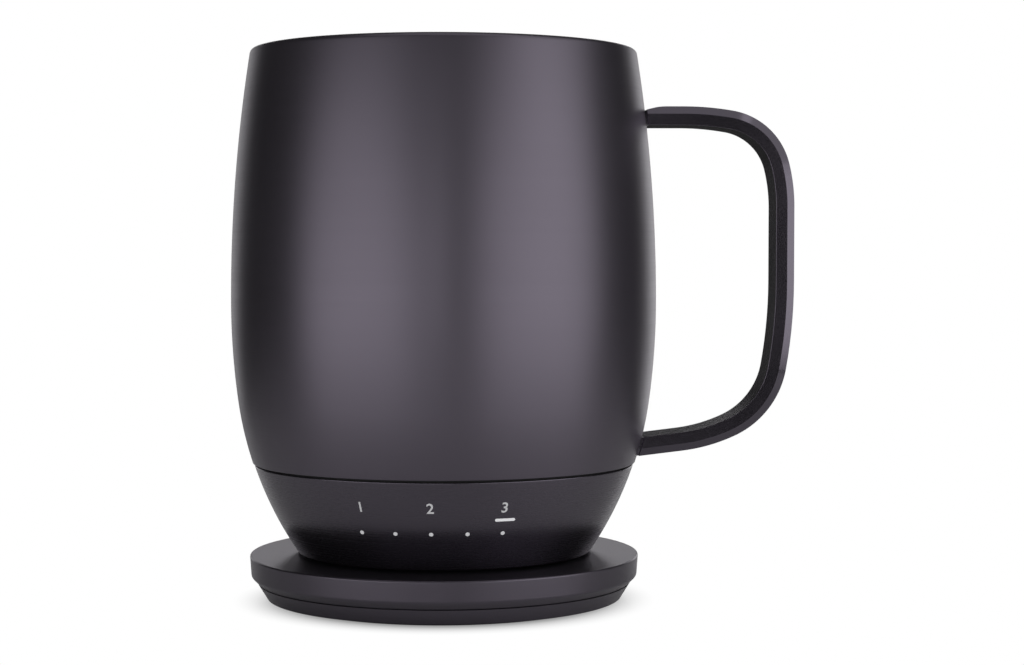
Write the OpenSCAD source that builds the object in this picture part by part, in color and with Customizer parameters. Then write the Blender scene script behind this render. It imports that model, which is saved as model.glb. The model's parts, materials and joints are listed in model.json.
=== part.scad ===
// A mug that keeps its drink hot, standing on its charging coaster.
// The origin is on the common axis at the table. +Z is up, the handle points along +X
// and the row of lights faces -Y. Heights of mug pieces count from the coaster's top.

/* [Barrel] */
// Largest outer radius of the barrel
mug_r = 47.4; // [46:0.1:52]
// Height of the rim above the coaster
mug_h = 112.2; // [106:0.1:124]
// Height of the widest point above the coaster
belly_z = 56.2; // [52:0.1:62]
// Radius of the barrel's arc above the widest point
upper_arc = 350; // [300:5:500]
// Radius of the barrel's arc below the widest point
middle_arc = 160; // [130:5:220]
// Radius of the arc that draws the base in
lower_arc = 79; // [74:1:100]
// Height above the coaster where that arc begins
break_z = 34; // [28:0.1:40]
// Thickness of the outer steel shell
shell_wall = 0.8; // [0.6:0.05:1.2]
// Width of the turned-in hem at the shell's lower edge
hem_w = 2.2; // [1.6:0.1:3]
// Height of that hem
hem_h = 1.4; // [1.2:0.1:2.6]
// Rounding of the hem's outer edge
hem_round = 0.3; // [0.2:0.05:0.8]
// Width of the lip from the mouth to the barrel's face
lip_w = 3.4; // [2.6:0.1:4.4]
// Depth of the lip
lip_h = 2.4; // [2:0.1:4]
// Rounding of the lip's outer edge
lip_round = 1.25; // [0.5:0.05:1.5]
// Rounding of the lip's inner edge
mouth_round = 0.6; // [0.3:0.05:1]

/* [Cup] */
// Thickness of the inner steel cup
liner_wall = 0.8; // [0.6:0.05:1.2]
// Insulating gap between shell and cup
liner_gap = 3.2; // [3:0.1:5]
// Rounding between the cup's wall and its floor
floor_round = 9; // [5:0.5:12]
// Distance of the studs under the cup's floor from the clamp plate's edge
stud_in = 5; // [4.6:0.1:6]
// Radius of a stud
stud_r = 1.5; // [1.2:0.1:1.8]
// Height of the nut on a stud
nut_h = 2.2; // [1.6:0.1:2.6]
// Radius across the corners of that nut
nut_r = 2.9; // [2.4:0.1:3.2]

/* [Heater] */
// Gap between the heat spreader and the mounting ring
spreader_gap = 1; // [0.5:0.1:1.5]
// Thickness of the heat spreader
spreader_t = 1.5; // [1:0.1:2.5]
// Thickness of the heater film
film_t = 0.4; // [0.3:0.05:0.8]
// How far the heater film reaches past the mica disc and the clamp plate
film_margin = 3; // [2.7:0.1:4.5]
// Thickness of the mica disc
mica_t = 0.5; // [0.3:0.05:1]
// Thickness of the clamp plate
clamp_t = 0.8; // [0.6:0.05:1.5]
// Radius of the temperature sensor
sensor_r = 3; // [2:0.1:4]
// Depth of the temperature sensor below the cup's floor
sensor_h = 4; // [3.4:0.1:5]
// Air between the battery cells and the clamp plate
stack_gap = 0.8; // [0.5:0.1:2]

/* [Handle] */
// Width of the handle strap
strap_w = 13; // [10:0.5:18]
// Thickness of the handle strap
strap_t = 4.2; // [3.8:0.1:5.2]
// Bevel on the outer edges of the strap
strap_bevel = 1.7; // [0.8:0.1:2]
// Rounding on the inner edges of the strap
strap_round = 1; // [0.6:0.1:1.6]
// Finger room between the barrel and the upright grip
finger_gap = 26.2; // [22:0.1:34]
// Depth of the top arm's middle below the rim
arm_drop = 14.7; // [12:0.1:20]
// Height of the bottom arm's middle above the seam
arm_rise = 3.2; // [3:0.1:8]
// Radius of the bend that leaves the top arm
top_ease_r = 61; // [40:1:80]
// Turn of that bend in degrees
top_ease_a = 10; // [5:1:14]
// Radius of the top corner
top_corner_r = 13.5; // [8:0.1:16]
// Radius of the bend into the upright grip
grip_ease_r = 38; // [30:1:70]
// Turn of the bend into the upright grip in degrees
grip_ease_a = 14; // [8:1:20]
// Radius of the bend that leaves the upright grip
low_ease_r = 111; // [60:1:140]
// Turn of the bend that leaves the upright grip in degrees
low_ease_a = 10; // [6:1:14]
// Radius of the bottom corner
low_corner_r = 18; // [14:0.1:22]
// Turn of the bottom corner in degrees
low_corner_a = 55; // [48:1:60]
// Radius of the bend into the bottom arm
arm_ease_r = 37; // [25:1:50]
// Turn of the bend into the bottom arm in degrees
arm_ease_a = 18; // [10:1:20]
// Length over which the top arm's crown falls towards the barrel
crown_l = 3.4; // [2:0.1:5]
// Radius of that fall
crown_r = 7.7; // [5:0.1:10]
// Radius of a handle screw's shank
handle_screw_r = 1.25; // [1:0.05:1.4]
// Length of a handle screw's thread in the strap
handle_thread = 9; // [6:0.5:10]
// Radius of a handle screw's head
handle_head_r = 1.9; // [1.7:0.1:2.2]
// Radius of the saddle plates behind the shell
saddle_r = 4; // [3:0.1:4.4]
// Thinnest place of a saddle plate
plate_t = 1; // [0.6:0.1:1.1]

/* [Base] */
// Height of the seam between base and barrel
seam_z = 20.3; // [19.4:0.1:22]
// Width of the seam
seam_gap = 0.4; // [0.3:0.05:0.8]
// Depth of the gasket behind the barrel's face
seal_depth = 0.7; // [0.4:0.05:1]
// How far the base's face lies inside the barrel's line
base_inset = 0.2; // [0.1:0.05:0.5]
// Wall of the base
base_wall = 2.2; // [1.8:0.1:2.6]
// Gap between the base's lower edge and the coaster
base_lift = 0.5; // [0.3:0.05:0.8]
// Rounding of the base's lower edge
base_round = 0.8; // [0.4:0.1:1.2]
// Rounding of the base's upper edge
base_edge = 0.2; // [0.1:0.05:0.6]
// Wall of the spigot that enters the barrel
spigot_wall = 1.8; // [1.4:0.1:2.4]
// Height of the spigot above the seam
spigot_h = 5.5; // [5:0.1:7]
// Width of the spigot's flange
flange_w = 7.9; // [7.4:0.1:8.4]
// Thickness of the flange
flange_t = 2; // [1.5:0.1:2.5]
// Thickness of the mounting ring
ring_t = 2.4; // [1.8:0.1:2.8]
// Distance of the base screws from the flange's inner edge
base_screw_in = 2.7; // [2.3:0.1:3.1]
// Half width of the notch around the lower handle screw
notch_w = 5.6; // [5:0.1:7]

/* [Bottom cover] */
// Width of the base's underside around the bottom cover
base_rim_w = 3.3; // [2.9:0.1:3.5]
// Thickness of the cover's middle
cover_t = 2.2; // [1.8:0.1:3]
// Height of the recess under the cover's middle
recess_z = 2; // [1.8:0.1:2.4]
// Wall between that recess and the foot ring
recess_margin = 0.8; // [0.6:0.1:2.4]
// Distance of the foot ring from the cover's edge
foot_margin = 0.8; // [0.7:0.1:1.2]
// Width of the foot ring
foot_w = 3.2; // [2.8:0.1:3.4]
// Height of the foot ring
foot_h = 1.6; // [1.4:0.1:1.9]
// Depth of the foot ring's groove
foot_sunk = 1; // [0.6:0.1:1.2]
// Radius of the cover's round seal
cover_seal_r = 0.4; // [0.3:0.05:0.5]
// Thickness of the ledge that the cover closes against
ledge_t = 2.2; // [1.8:0.1:3]
// How far that ledge reaches inside the cover's edge
ledge_w = 4.9; // [4.6:0.1:5.2]
// Radius of the inner charging ring's middle
inner_ring_r = 6.8; // [5:0.1:9]
// Radius of the outer charging ring's middle
outer_ring_r = 14.8; // [13:0.1:16]
// Width of a charging ring
contact_w = 3.4; // [2.6:0.1:4.5]
// Thickness of a charging ring
contact_t = 1; // [0.8:0.05:1.4]

/* [Electronics] */
// Gap between the main board and the ledge
board_gap = 0.7; // [0.5:0.1:1.1]
// Thickness of a circuit board
board_t = 1.2; // [0.8:0.1:1.6]
// Height of the posts under the main board
standoff_h = 1.4; // [1:0.1:2]
// Height of the tallest chip and of the plugs on the main board
chip_h = 2.2; // [1.8:0.1:2.5]
// Room above the main board for its chips and plugs
chip_room = 2.8; // [2.7:0.1:4]
// Distance of the plugs from the main board's edge
plug_in = 2.8; // [2.4:0.1:3.8]
// Radius of a lead with its sleeve
lead_r = 0.6; // [0.4:0.05:0.7]
// Bend radius of a lead
lead_bend = 2; // [1.5:0.1:2.5]

/* [Battery] */
// Diameter of a battery cell
cell_d = 18.4; // [16:0.1:18.6]
// Room between the cells' outer corners and the flange
cell_room = 1.6; // [1.1:0.1:4.6]
// Gap between the two cells
cell_gap = 0.6; // [0.4:0.1:1]
// Thickness of the nickel tabs
tab_t = 0.3; // [0.2:0.05:0.5]
// Thickness of the tray's plate
tray_t = 1.4; // [1:0.1:2]
// Thickness of the tray's end walls
tray_end_t = 1.4; // [1:0.1:1.8]
// Distance of the tray screws from the tray's round edge
tray_screw_in = 4.4; // [4.2:0.1:5]

/* [Lights] */
// Turn of the row of lights away from -Y in degrees
display_turn = -3; // [-6:1:6]
// Height of the row of dots
dot_z = 8.85; // [8.4:0.05:9.4]
// Radius of a dot
dot_r = 0.45; // [0.3:0.05:0.8]
// Angle between two dots
dot_pitch = 11.5; // [9:0.5:13]
// Height of the level bars
bar_z = 11.8; // [11.2:0.1:12.4]
// Length of a level bar
bar_l = 4.4; // [3:0.1:5]
// Width of a level bar
bar_w = 0.65; // [0.4:0.05:1]
// Angle between two level bars
bar_pitch = 23; // [18:0.5:26]
// Wall left over a dark level bar
skin_t = 0.5; // [0.3:0.05:0.8]
// Height of a light source on its board
led_h = 0.8; // [0.5:0.05:1.1]
// Thickness of the flexible light board
flex_t = 0.4; // [0.2:0.05:0.6]

/* [Power button] */
// Height of the power button above the coaster
button_z = 11.5; // [11.2:0.1:12]
// Radius of the button
button_r = 4.4; // [3.5:0.1:5]
// How far the button stands out of the base
button_proud = 0.4; // [0.2:0.05:0.8]
// Travel of the button
button_travel = 0.6; // [0.4:0.05:0.8]
// Width of the button's retaining flange
button_flange_w = 1.2; // [0.8:0.1:1.6]
// Thickness of the button's retaining flange
button_flange_t = 1; // [0.8:0.1:1.3]
// Depth of the flange's seat behind the base's face
button_seat = 3.2; // [3:0.1:3.6]
// Side of the square switch
switch_w = 6; // [5:0.1:6.4]
// Height of the switch
switch_h = 3; // [2.6:0.1:3.4]
// Distance of the switch screws from the button's axis
switch_screw_at = 8.2; // [8:0.1:9]

/* [Coaster] */
// Radius of the coaster at its top edge
coaster_r = 43.5; // [43:0.1:48]
// Height of the coaster's top
coaster_h = 10.4; // [10.2:0.1:13]
// Lean of the side wall in degrees
side_lean = 4; // [1:0.5:6]
// Rounding of the top edge
top_edge = 0.4; // [0.2:0.05:0.8]
// Rounding of the side wall's lower edge
side_round = 1; // [0.5:0.1:1.4]
// Height of that rounding's centre
side_round_z = 6.2; // [6:0.1:6.6]
// Height of the parting line
parting_z = 4.1; // [3.7:0.1:4.3]
// Width of the parting line
parting_gap = 0.2; // [0.1:0.05:0.4]
// Outer radius of the foot at the parting line
foot_top_r = 41.7; // [41.2:0.1:42]
// Outer radius of the foot near the table
foot_low_r = 39.7; // [38.6:0.1:40.4]
// Gap between the foot's edge and the table
foot_lift = 0.8; // [0.5:0.1:1]
// Thickness of the coaster's top
top_t = 1.6; // [1.3:0.1:1.7]
// Inner radius of the coaster
hollow_r = 39.8; // [39.4:0.1:40]
// Thickness of the coaster's floor
floor_t = 1.8; // [1.5:0.1:2]
// Inner radius of the rubber foot ring
pad_in_r = 30; // [29:0.1:31]
// Outer radius of the rubber foot ring
pad_out_r = 36; // [35:0.1:37]
// Depth of the rubber foot ring's groove
pad_sunk = 0.8; // [0.5:0.05:0.9]
// Radius of the circle of coaster screws
coaster_screw_circle = 33; // [32.8:0.1:33.2]
// Height of the locating boss on the coaster's top
boss_h = 1.4; // [1:0.05:1.5]

/* [Power inlet] */
// Width of the inlet's metal shell
inlet_w = 8.94; // [8:0.02:10]
// Height of the inlet's metal shell
inlet_h = 3.26; // [3:0.02:3.3]
// Length of the inlet's metal shell
inlet_l = 7.3; // [6:0.1:8]
// Wall of the inlet's metal shell
inlet_wall = 0.3; // [0.2:0.05:0.4]
// Depth of the inlet's mouth behind the side wall
inlet_sunk = 0.8; // [0.5:0.1:1.2]

/* [Charging pins] */
// Radius of a pin's tip
pin_r = 0.7; // [0.5:0.05:0.9]
// Radius of the pin's collar
collar_r = 1; // [0.95:0.05:1.2]
// Length of the pin's collar
collar_h = 1; // [0.6:0.1:1.4]
// Wall of the pin's sleeve
sleeve_wall = 0.45; // [0.3:0.05:0.6]
// Travel of a pin
pin_travel = 0.8; // [0.5:0.05:1]

/* [Fits] */
// Radial play of a sliding piece
slide_play = 0.1; // [0.05:0.01:0.2]
// Radial play of a piece that is set in place
set_play = 0.15; // [0.1:0.01:0.25]
// Gap left at welded and glued faces
weld_gap = 0.03; // [0.02:0.01:0.06]
// Radial play of a screw in a through hole
screw_play = 0.2; // [0.15:0.01:0.3]
// Radial play of a screw in its thread
thread_play = 0.05; // [0.03:0.01:0.08]
// Radius of the small screws' shanks
screw_r = 1.1; // [0.9:0.05:1.2]
// Radius of the small screws' heads
screw_head_r = 2; // [1.7:0.1:2.1]
// Height of the small screws' heads
screw_head_h = 1.2; // [0.9:0.1:1.3]

/* [Hidden] */

$fn = 96;
// Facets of the long profile arcs
arc_fn = 720;
// Turn between two rings along a bend
bend_step = 3;
// Steps around a rounded corner of the strap
corner_steps = 6;
// Sides of a wire and its rings in one turn of a coil
wire_sides = 6;
coil_rings = 8;
// Share of its radius by which a rounding reaches past the barrel's line
corner_bite = 0.02;
// Overshoot of cuts past the faces that they open
cut = 1;

// Wall around a screw's thread in a boss
boss_wall = 0.9;
// Room between a screw's end and the end of its hole
thread_end = 0.6;
// Azimuth of the first screw of each ring: tray, boards and coaster, then cover, then base
corner_turn = 45;
cover_turn = 22.5;
base_turn = 60;

// Finish colours
charcoal = [0.20, 0.19, 0.21];
satin_black = [0.11, 0.11, 0.12];
soft_black = [0.08, 0.08, 0.08];
steel = [0.72, 0.72, 0.73];
copper = [0.80, 0.55, 0.32];
board_green = [0.08, 0.32, 0.20];
white_light = [0.95, 0.96, 1.00];

// Centre of the lower arc, which runs on smoothly from the middle one
break_tilt = asin((belly_z - break_z) / middle_arc);
low_cx = mug_r - middle_arc + (middle_arc - lower_arc) * cos(break_tilt);
low_cz = belly_z - (middle_arc - lower_arc) * sin(break_tilt);

// Heights from the foot ring up to the cup's floor
cover_low = foot_h - foot_sunk;
cover_top = recess_z + cover_t;
ledge_top = cover_top + ledge_t;
board_z = cover_top + standoff_h;
board_top = board_z + board_t;
tray_z = board_top + chip_room;
tray_top = tray_z + tray_t;
cell_r = cell_d / 2;
cell_z = tray_top + cell_r + set_play;
clamp_z = cell_z + cell_r + stack_gap;
mica_z = clamp_z + clamp_t;
film_z = mica_z + mica_t;
spreader_z = film_z + film_t;
floor_z = spreader_z + spreader_t;
// Length of a stud past its nut
stud_past = 0.4;

// Mouth and cup
mouth_r = barrel_r(mug_h, 0) - lip_w;
liner_inset = shell_wall + liner_gap + liner_wall;
lip_in_r = mouth_r + liner_wall + weld_gap;

// Joint between base and barrel
shell_z = seam_z + seam_gap / 2;
base_top = seam_z - seam_gap / 2;
shoulder_z = base_top - base_wall;
hem_r = barrel_r(shell_z, 0) - hem_w;
spigot_r = hem_r - set_play;
spigot_top = seam_z + spigot_h;
flange_z = spigot_top - flange_t;
flange_r = spigot_r - flange_w;
base_screw_circle = flange_r + base_screw_in;

// Heater stack, which passes the flange
spreader_r = flange_r - spreader_gap;
clamp_r = spreader_r - film_margin;
stud_circle = clamp_r - stud_in;

// Bottom cover and main board
cover_r = barrel_r(base_lift, base_inset) - base_rim_w;
foot_out_r = cover_r - foot_margin;
foot_in_r = foot_out_r - foot_w;
recess_r = foot_in_r - recess_margin;
cover_screw_circle = (foot_in_r + foot_out_r) / 2;
ledge_r = cover_r - ledge_w;
board_r = ledge_r - board_gap;
plug_r = board_r - plug_in;
cover_head_z = foot_h + screw_head_h + weld_gap;
cover_seal_z = (cover_head_z + cover_top) / 2;
cover_boss_top = ledge_top + 2.4;
board_screw_circle = board_r - screw_head_r - 1.4;
contact_post_r = contact_w / 4;
plug_l = 3;
plug_margin = 1.5;
// Chips as [x and y in shares of the board's radius, width, length, share of the tallest chip's height]
main_chips =
    [[-0.25, -0.34, 7, 7, 0.5], [0.25, 0.3, 6, 6, 1], [0.3, -0.3, 5, 4, 0.6], [-0.25, 0.3, 4, 4, 0.8]];
coaster_chips = [[0, 0.6, 6, 6, 1], [-0.45, 0.5, 5, 5, 0.5], [0, -0.5, 8, 5, 0.8]];

// Battery pack, which passes the flange too
cell_y = (cell_d + cell_gap) / 2;
cell_end = sqrt(pow(flange_r, 2) - pow(cell_y + cell_r, 2)) - cell_room;
cell_len = 2 * cell_end;
terminal_h = 1;
terminal_r = 3;
tab_half_h = 4;
tray_end = cell_end + tab_t + set_play;
tray_half_x = tray_end + tray_end_t;
tray_margin = 1;
tray_gap = 0.5;
tray_round_r = flange_r - tray_gap;
tray_screw_circle = tray_round_r - tray_screw_in;
tray_screw_at = tray_screw_circle / sqrt(2);
tray_half_y = tray_screw_at + screw_head_r + tray_margin;
cradle_half_y = tray_screw_at - screw_head_r - 2 * tray_margin;
cradle_top = cell_z - cell_r / 2;

// Leads: half the distance within a pair, then the radius at which a pair drops
heater_lead_spread = 4.5;
battery_lead_spread = 6;
switch_lead_spread = 3;
heater_lead_at = spreader_r - 1.5;
battery_lead_at = cell_end + tab_t + lead_r + weld_gap;
lead_slot = lead_r + screw_play;
// Gap between the switch board's edge and its leads
lead_gap = 0.4;

// Display
display_az = -90 + display_turn;
lens_back = 0.3;
led_face = base_wall + lens_back;
flex_out = base_inset + led_face + led_h + weld_gap;
flex_span = 38;
flex_low = ledge_top + 0.5;
flex_high = bar_z + 2.2;
peg_turn = 34;
peg_z = (dot_z + bar_z) / 2;
peg_r = 0.8;
peg_proud = 0.6;

// Power button, along its own axis and counted inwards from the base's face
button_az = 90;
stem_r = 1.4;
plunger_r = 1.6;
plunger_h = 1.2;
flange_back = button_seat + weld_gap + button_flange_t;
stem_reach = 1.4;
stem_end = flange_back + button_travel + stem_reach;
plunger_top = stem_end + weld_gap;
switch_top = plunger_top + plunger_h;
switch_back = switch_top + switch_h;
switch_board_back = switch_back + board_t;
switch_floor = 1;
switch_board_half = switch_w / 2 + 1.2;
switch_thread = 3;

// Coaster
ceiling_z = coaster_h - top_t;
inlet_room = 0.14;
inlet_z = ceiling_z - inlet_room - inlet_h / 2;
inlet_mouth = coaster_r - (coaster_h - inlet_z) * tan(side_lean) - inlet_sunk;
pcb_top = ceiling_z - inlet_room - inlet_h;
pcb_z = pcb_top - board_t;
floor_top = foot_lift + floor_t;
pcb_r = 20;
pcb_tongue_w = 12;
pcb_post_circle = pcb_r - 3;
// Play around the locating boss in the mug's recess
boss_play = 0.8;
boss_r = recess_r - boss_play;
sleeve_r = collar_r + slide_play / 2 + sleeve_wall;
pin_tip = coaster_h + recess_z - weld_gap;
// Part of a pin's tip that stays above its sleeve when the pin is pressed
pin_stand = 0.37;
sleeve_top = pin_tip - pin_travel - pin_stand;
sleeve_floor = pcb_top + 0.4;
sleeve_mouth_t = 0.5;
collar_top = sleeve_top - sleeve_mouth_t - weld_gap;

// Radius of the barrel's face, moved inwards by inset, at a height
function break_at(inset) = break_z + inset * sin(break_tilt);
function arc_x(centre_x, centre_z, r, z) = centre_x + sqrt(r * r - (z - centre_z) * (z - centre_z));
function barrel_r(z, inset) =
    z >= belly_z ? arc_x(mug_r - upper_arc, belly_z, upper_arc - inset, z)
    : z >= break_at(inset) ? arc_x(mug_r - middle_arc, belly_z, middle_arc - inset, z)
    : arc_x(low_cx, low_cz, lower_arc - inset, z);
// Angle of the face's outward normal above the level
function barrel_tilt(z, inset) =
    z >= belly_z ? asin((z - belly_z) / (upper_arc - inset))
    : z >= break_at(inset) ? asin((z - belly_z) / (middle_arc - inset))
    : asin((z - low_cz) / (lower_arc - inset));
// Height at which the inset face reaches a radius, above the widest point
function neck_z(inset, r) = belly_z + sqrt(pow(upper_arc - inset, 2) - pow(r - mug_r + upper_arc, 2));
// Radius and height of a point given by its depth and its drop along the base's face
function face_r(z, depth, drop) =
    let (tilt = barrel_tilt(z, base_inset))
    barrel_r(z, base_inset) - depth * cos(tilt) + drop * sin(tilt);
function face_z(z, depth, drop) =
    let (tilt = barrel_tilt(z, base_inset))
    z - depth * sin(tilt) - drop * cos(tilt);

// Path of the handle: a step is [0, length] or [bend radius, turn]
function step_point(p, h, s) =
    s[0] == 0 ? p + s[1] * [cos(h), sin(h)]
    : p + s[0] * [sin(h) - sin(h - s[1]), cos(h - s[1]) - cos(h)];
function step_heading(h, s) = s[0] == 0 ? h : h - s[1];
function path_end(p, h, steps, i = 0) =
    i == len(steps) ? p : path_end(step_point(p, h, steps[i]), step_heading(h, steps[i]), steps, i + 1);
// Points and headings along the path, a few degrees apart on its bends
function step_frames(p, h, s) =
    let (count = s[0] == 0 ? 1 : ceil(s[1] / bend_step))
    [for (k = [0 : count - 1])
        let (part = [s[0], s[1] * k / count])
        [step_point(p, h, part), step_heading(h, part)]];
function path_frames(p, h, steps, i = 0) =
    i == len(steps) ? [[p, h]]
    : concat(step_frames(p, h, steps[i]),
        path_frames(step_point(p, h, steps[i]), step_heading(h, steps[i]), steps, i + 1));

top_corner_a = 90 - top_ease_a - grip_ease_a;
top_bends = [[top_ease_r, top_ease_a], [top_corner_r, top_corner_a], [grip_ease_r, grip_ease_a]];
low_bends = [[low_ease_r, low_ease_a], [low_corner_r, low_corner_a], [arm_ease_r, arm_ease_a]];
top_shift = path_end([0, 0], 0, top_bends);
low_shift = path_end([0, 0], -90, low_bends);
arm_heading = -90 - low_ease_a - low_corner_a - arm_ease_a;
arm_top_z = mug_h - arm_drop;
arm_low_z = seam_z + arm_rise;
// Depth behind the barrel's face at which the lines of the arms begin and end
arm_sunk = 5.2;
arm_start = barrel_r(arm_top_z, 0) - arm_sunk;
arm_end = barrel_r(arm_low_z, 0) - arm_sunk;
grip_x = mug_r + finger_gap + strap_t / 2;
arm_run = (grip_x + low_shift[0] - arm_end) / -cos(arm_heading);
grip_run = arm_top_z + top_shift[1] + low_shift[1] + arm_run * sin(arm_heading) - arm_low_z;
handle_path = concat(
    [[0, grip_x - top_shift[0] - arm_start]], top_bends, [[0, grip_run]], low_bends, [[0, arm_run]]);
// Flat backs of the saddle plates, along each arm from its end, square to the arm's screw
saddle_front = arm_sunk - shell_wall - plate_t;
top_saddle = saddle_front - saddle_r * tan(barrel_tilt(arm_top_z, 0));
low_saddle = saddle_front - saddle_r * tan(arm_heading + 180 - barrel_tilt(arm_low_z, 0));

// Shared shapes

module on_coaster() {
    translate([0, 0, coaster_h]) children();
}

module post(r, z0, z1) {
    translate([0, 0, z0]) cylinder(r = r, h = z1 - z0);
}

module block(x, y, z0, z1) {
    translate([-x / 2, -y / 2, z0]) cube([x, y, z1 - z0]);
}

module around(count, r, first) {
    for (i = [0 : count - 1]) rotate(first + 360 * i / count) translate([r, 0, 0]) children();
}

module band(r0, r1, z0, z1) {
    translate([r0, z0]) square([r1 - r0, z1 - z0]);
}

// Rounded bar, long along X
module stadium(length, width) {
    square([length - width, width], center = true);
    for (side = [-1, 1]) translate([side * (length - width) / 2, 0]) circle(d = width);
}

// Screw with its head up, the head's underside at the origin
module screw(shank_r, head_r, head_h, length) {
    difference() {
        union() {
            cylinder(r = head_r, h = head_h);
            post(shank_r, -length, 0);
        }
        translate([0, 0, head_h / 2]) cylinder(r = head_r / 2, h = head_h, $fn = 6);
    }
}

// Places children on the base's face, +Z outwards
module at_face(azimuth, z) {
    rotate(azimuth) translate([barrel_r(z, base_inset), 0, z])
        rotate([0, 90 - barrel_tilt(z, base_inset), 0]) children();
}

// Part of the barrel's half section between two heights, up to one of its arcs
module arc_band(centre_x, centre_z, r, z0, z1) {
    if (z1 > z0) intersection() {
        translate([centre_x, centre_z]) circle(r = r, $fn = arc_fn);
        band(0, 2 * mug_r, z0, z1);
    }
}

// Half section of the barrel, its face moved inwards, between two heights with rounded outer corners
module barrel_band(inset, z0, z1, low_round = 0, top_round = 0) {
    low_c = z0 + low_round;
    top_c = z1 - top_round;
    low_z = low_c + low_round * sin(barrel_tilt(low_c, inset + low_round));
    top_z = top_c + top_round * sin(barrel_tilt(top_c, inset + top_round));
    break_h = break_at(inset);
    intersection() {
        union() {
            arc_band(mug_r - upper_arc, belly_z, upper_arc - inset, max(z0, belly_z), z1);
            arc_band(mug_r - middle_arc, belly_z, middle_arc - inset, max(z0, break_h), min(z1, belly_z));
            arc_band(low_cx, low_cz, lower_arc - inset, z0, min(z1, break_h));
        }
        union() {
            band(0, 2 * mug_r, low_z, top_z);
            if (low_round > 0) rounded_corner(low_c, inset, low_round);
            if (top_round > 0) rounded_corner(top_c, inset, top_round);
        }
    }
}

// Rounding that crosses the barrel's line at a small angle, so that the two meet in one clear point
module rounded_corner(centre_z, inset, r) {
    centre_r = barrel_r(centre_z, inset + r) + corner_bite * r;
    band(0, centre_r, centre_z - r, centre_z + r);
    translate([centre_r, centre_z]) circle(r = r);
}

// Half section of the cup's inside or outside: the barrel's line up to a straight neck
module cup_section(inset, low, neck_r, round_r, top) {
    barrel_band(inset, low, neck_z(inset, neck_r), round_r);
    band(0, neck_r, belly_z, top);
}

// Section of the handle strap as [outwards, across] points
function corner_points(centre, r, from_a) =
    [for (k = [0 : corner_steps])
        let (a = from_a + 90 * k / corner_steps)
        centre + r * [cos(a), sin(a)]];
function strap_section() =
    let (half_t = strap_t / 2, half_w = strap_w / 2)
    let (round_u = strap_round - half_t, round_v = half_w - strap_round)
    concat(
        [[half_t - strap_bevel, -half_w], [half_t, strap_bevel - half_w]],
        [[half_t, half_w - strap_bevel], [half_t - strap_bevel, half_w]],
        corner_points([round_u, round_v], strap_round, 90),
        corner_points([round_u, -round_v], strap_round, 180));
function wire_section(r) =
    [for (k = [0 : wire_sides - 1]) r * [cos(360 * k / wire_sides), sin(360 * k / wire_sides)]];

// Closed body through rings of points, each ring turning clockwise as seen along the way
module skin(points, sides) {
    last = len(points) - sides;
    walls = [for (a = [0 : sides : last - sides]) for (k = [0 : sides - 1])
        let (b = a + (k + 1) % sides)
        each [[a + k, b, b + sides], [a + k, b + sides, a + k + sides]]];
    caps = [for (k = [1 : sides - 2]) each [[0, k + 1, k], [last, last + k, last + k + 1]]];
    polyhedron(points, concat(walls, caps));
}

// Section carried along a path in the XZ plane
module bent_bar(section, p, h, steps) {
    points = [for (f = path_frames(p, h, steps)) for (q = section)
        [f[0][0] - q[0] * sin(f[1]), q[1], f[0][1] + q[0] * cos(f[1])]];
    skin(points, len(section));
}

// The two ends of the strap, +Z along each arm away from the barrel's axis
module at_top_arm() {
    translate([arm_start, 0, arm_top_z]) rotate([0, 90, 0]) children();
}

module at_low_arm() {
    translate([arm_end, 0, arm_low_z]) rotate([0, 270 - arm_heading, 0]) children();
}

module at_arms() {
    at_top_arm() children();
    at_low_arm() children();
}

// Coiled wire standing on the XY plane
module coil(r, wire_r, turns, length) {
    rings = coil_rings * turns;
    points = [for (i = [0 : rings]) for (q = wire_section(wire_r))
        let (a = 360 * i / coil_rings)
        [(r + q[0]) * cos(a), (r + q[0]) * sin(a), wire_r + (length - 2 * wire_r) * i / rings + q[1]]];
    skin(points, wire_sides);
}

// Lead that drops beside the battery and turns in to its plug on the main board
module lead(drop_r, from_z) {
    turn_z = board_top + chip_h / 2 + lead_bend;
    bent_bar(wire_section(lead_r), [drop_r, from_z], -90,
        [[0, from_z - turn_z], [lead_bend, 90], [0, drop_r - lead_bend - plug_r]]);
}

module lead_pair(azimuth, spread, drop_r, from_z) {
    rotate(azimuth) for (side = [-1, 1]) translate([0, side * spread, 0]) lead(drop_r, from_z);
}

// Barrel and cup

module mug_shell() {
    color(charcoal) on_coaster() difference() {
        rotate_extrude() difference() {
            barrel_band(0, shell_z, mug_h, hem_round, lip_round);
            barrel_band(shell_wall, shell_z + hem_h, mug_h - lip_h);
            band(0, hem_r, shell_z - cut, shell_z + hem_h);
            band(0, lip_in_r, mug_h - lip_h, mug_h + cut);
            difference() {
                band(lip_in_r, lip_in_r + mouth_round, mug_h - mouth_round, mug_h + cut);
                translate([lip_in_r + mouth_round, mug_h - mouth_round]) circle(r = mouth_round);
            }
        }
        at_arms() post(handle_screw_r + screw_play, 0, 2 * arm_sunk);
    }
}

module mug_liner() {
    color(steel) on_coaster() rotate_extrude() difference() {
        cup_section(liner_inset - liner_wall, floor_z, mouth_r + liner_wall, floor_round + liner_wall,
            mug_h - mouth_round);
        cup_section(liner_inset, floor_z + liner_wall, mouth_r, floor_round, mug_h + cut);
    }
}

module liner_studs() {
    color(steel) on_coaster() around(4, stud_circle, 0) post(stud_r, clamp_z - nut_h - stud_past, floor_z);
}

module heater_nuts() {
    color(steel) on_coaster() around(4, stud_circle, 0) difference() {
        translate([0, 0, clamp_z - nut_h]) cylinder(r = nut_r, h = nut_h, $fn = 6);
        post(stud_r + thread_play, clamp_z - nut_h - cut, clamp_z + cut);
    }
}

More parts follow.
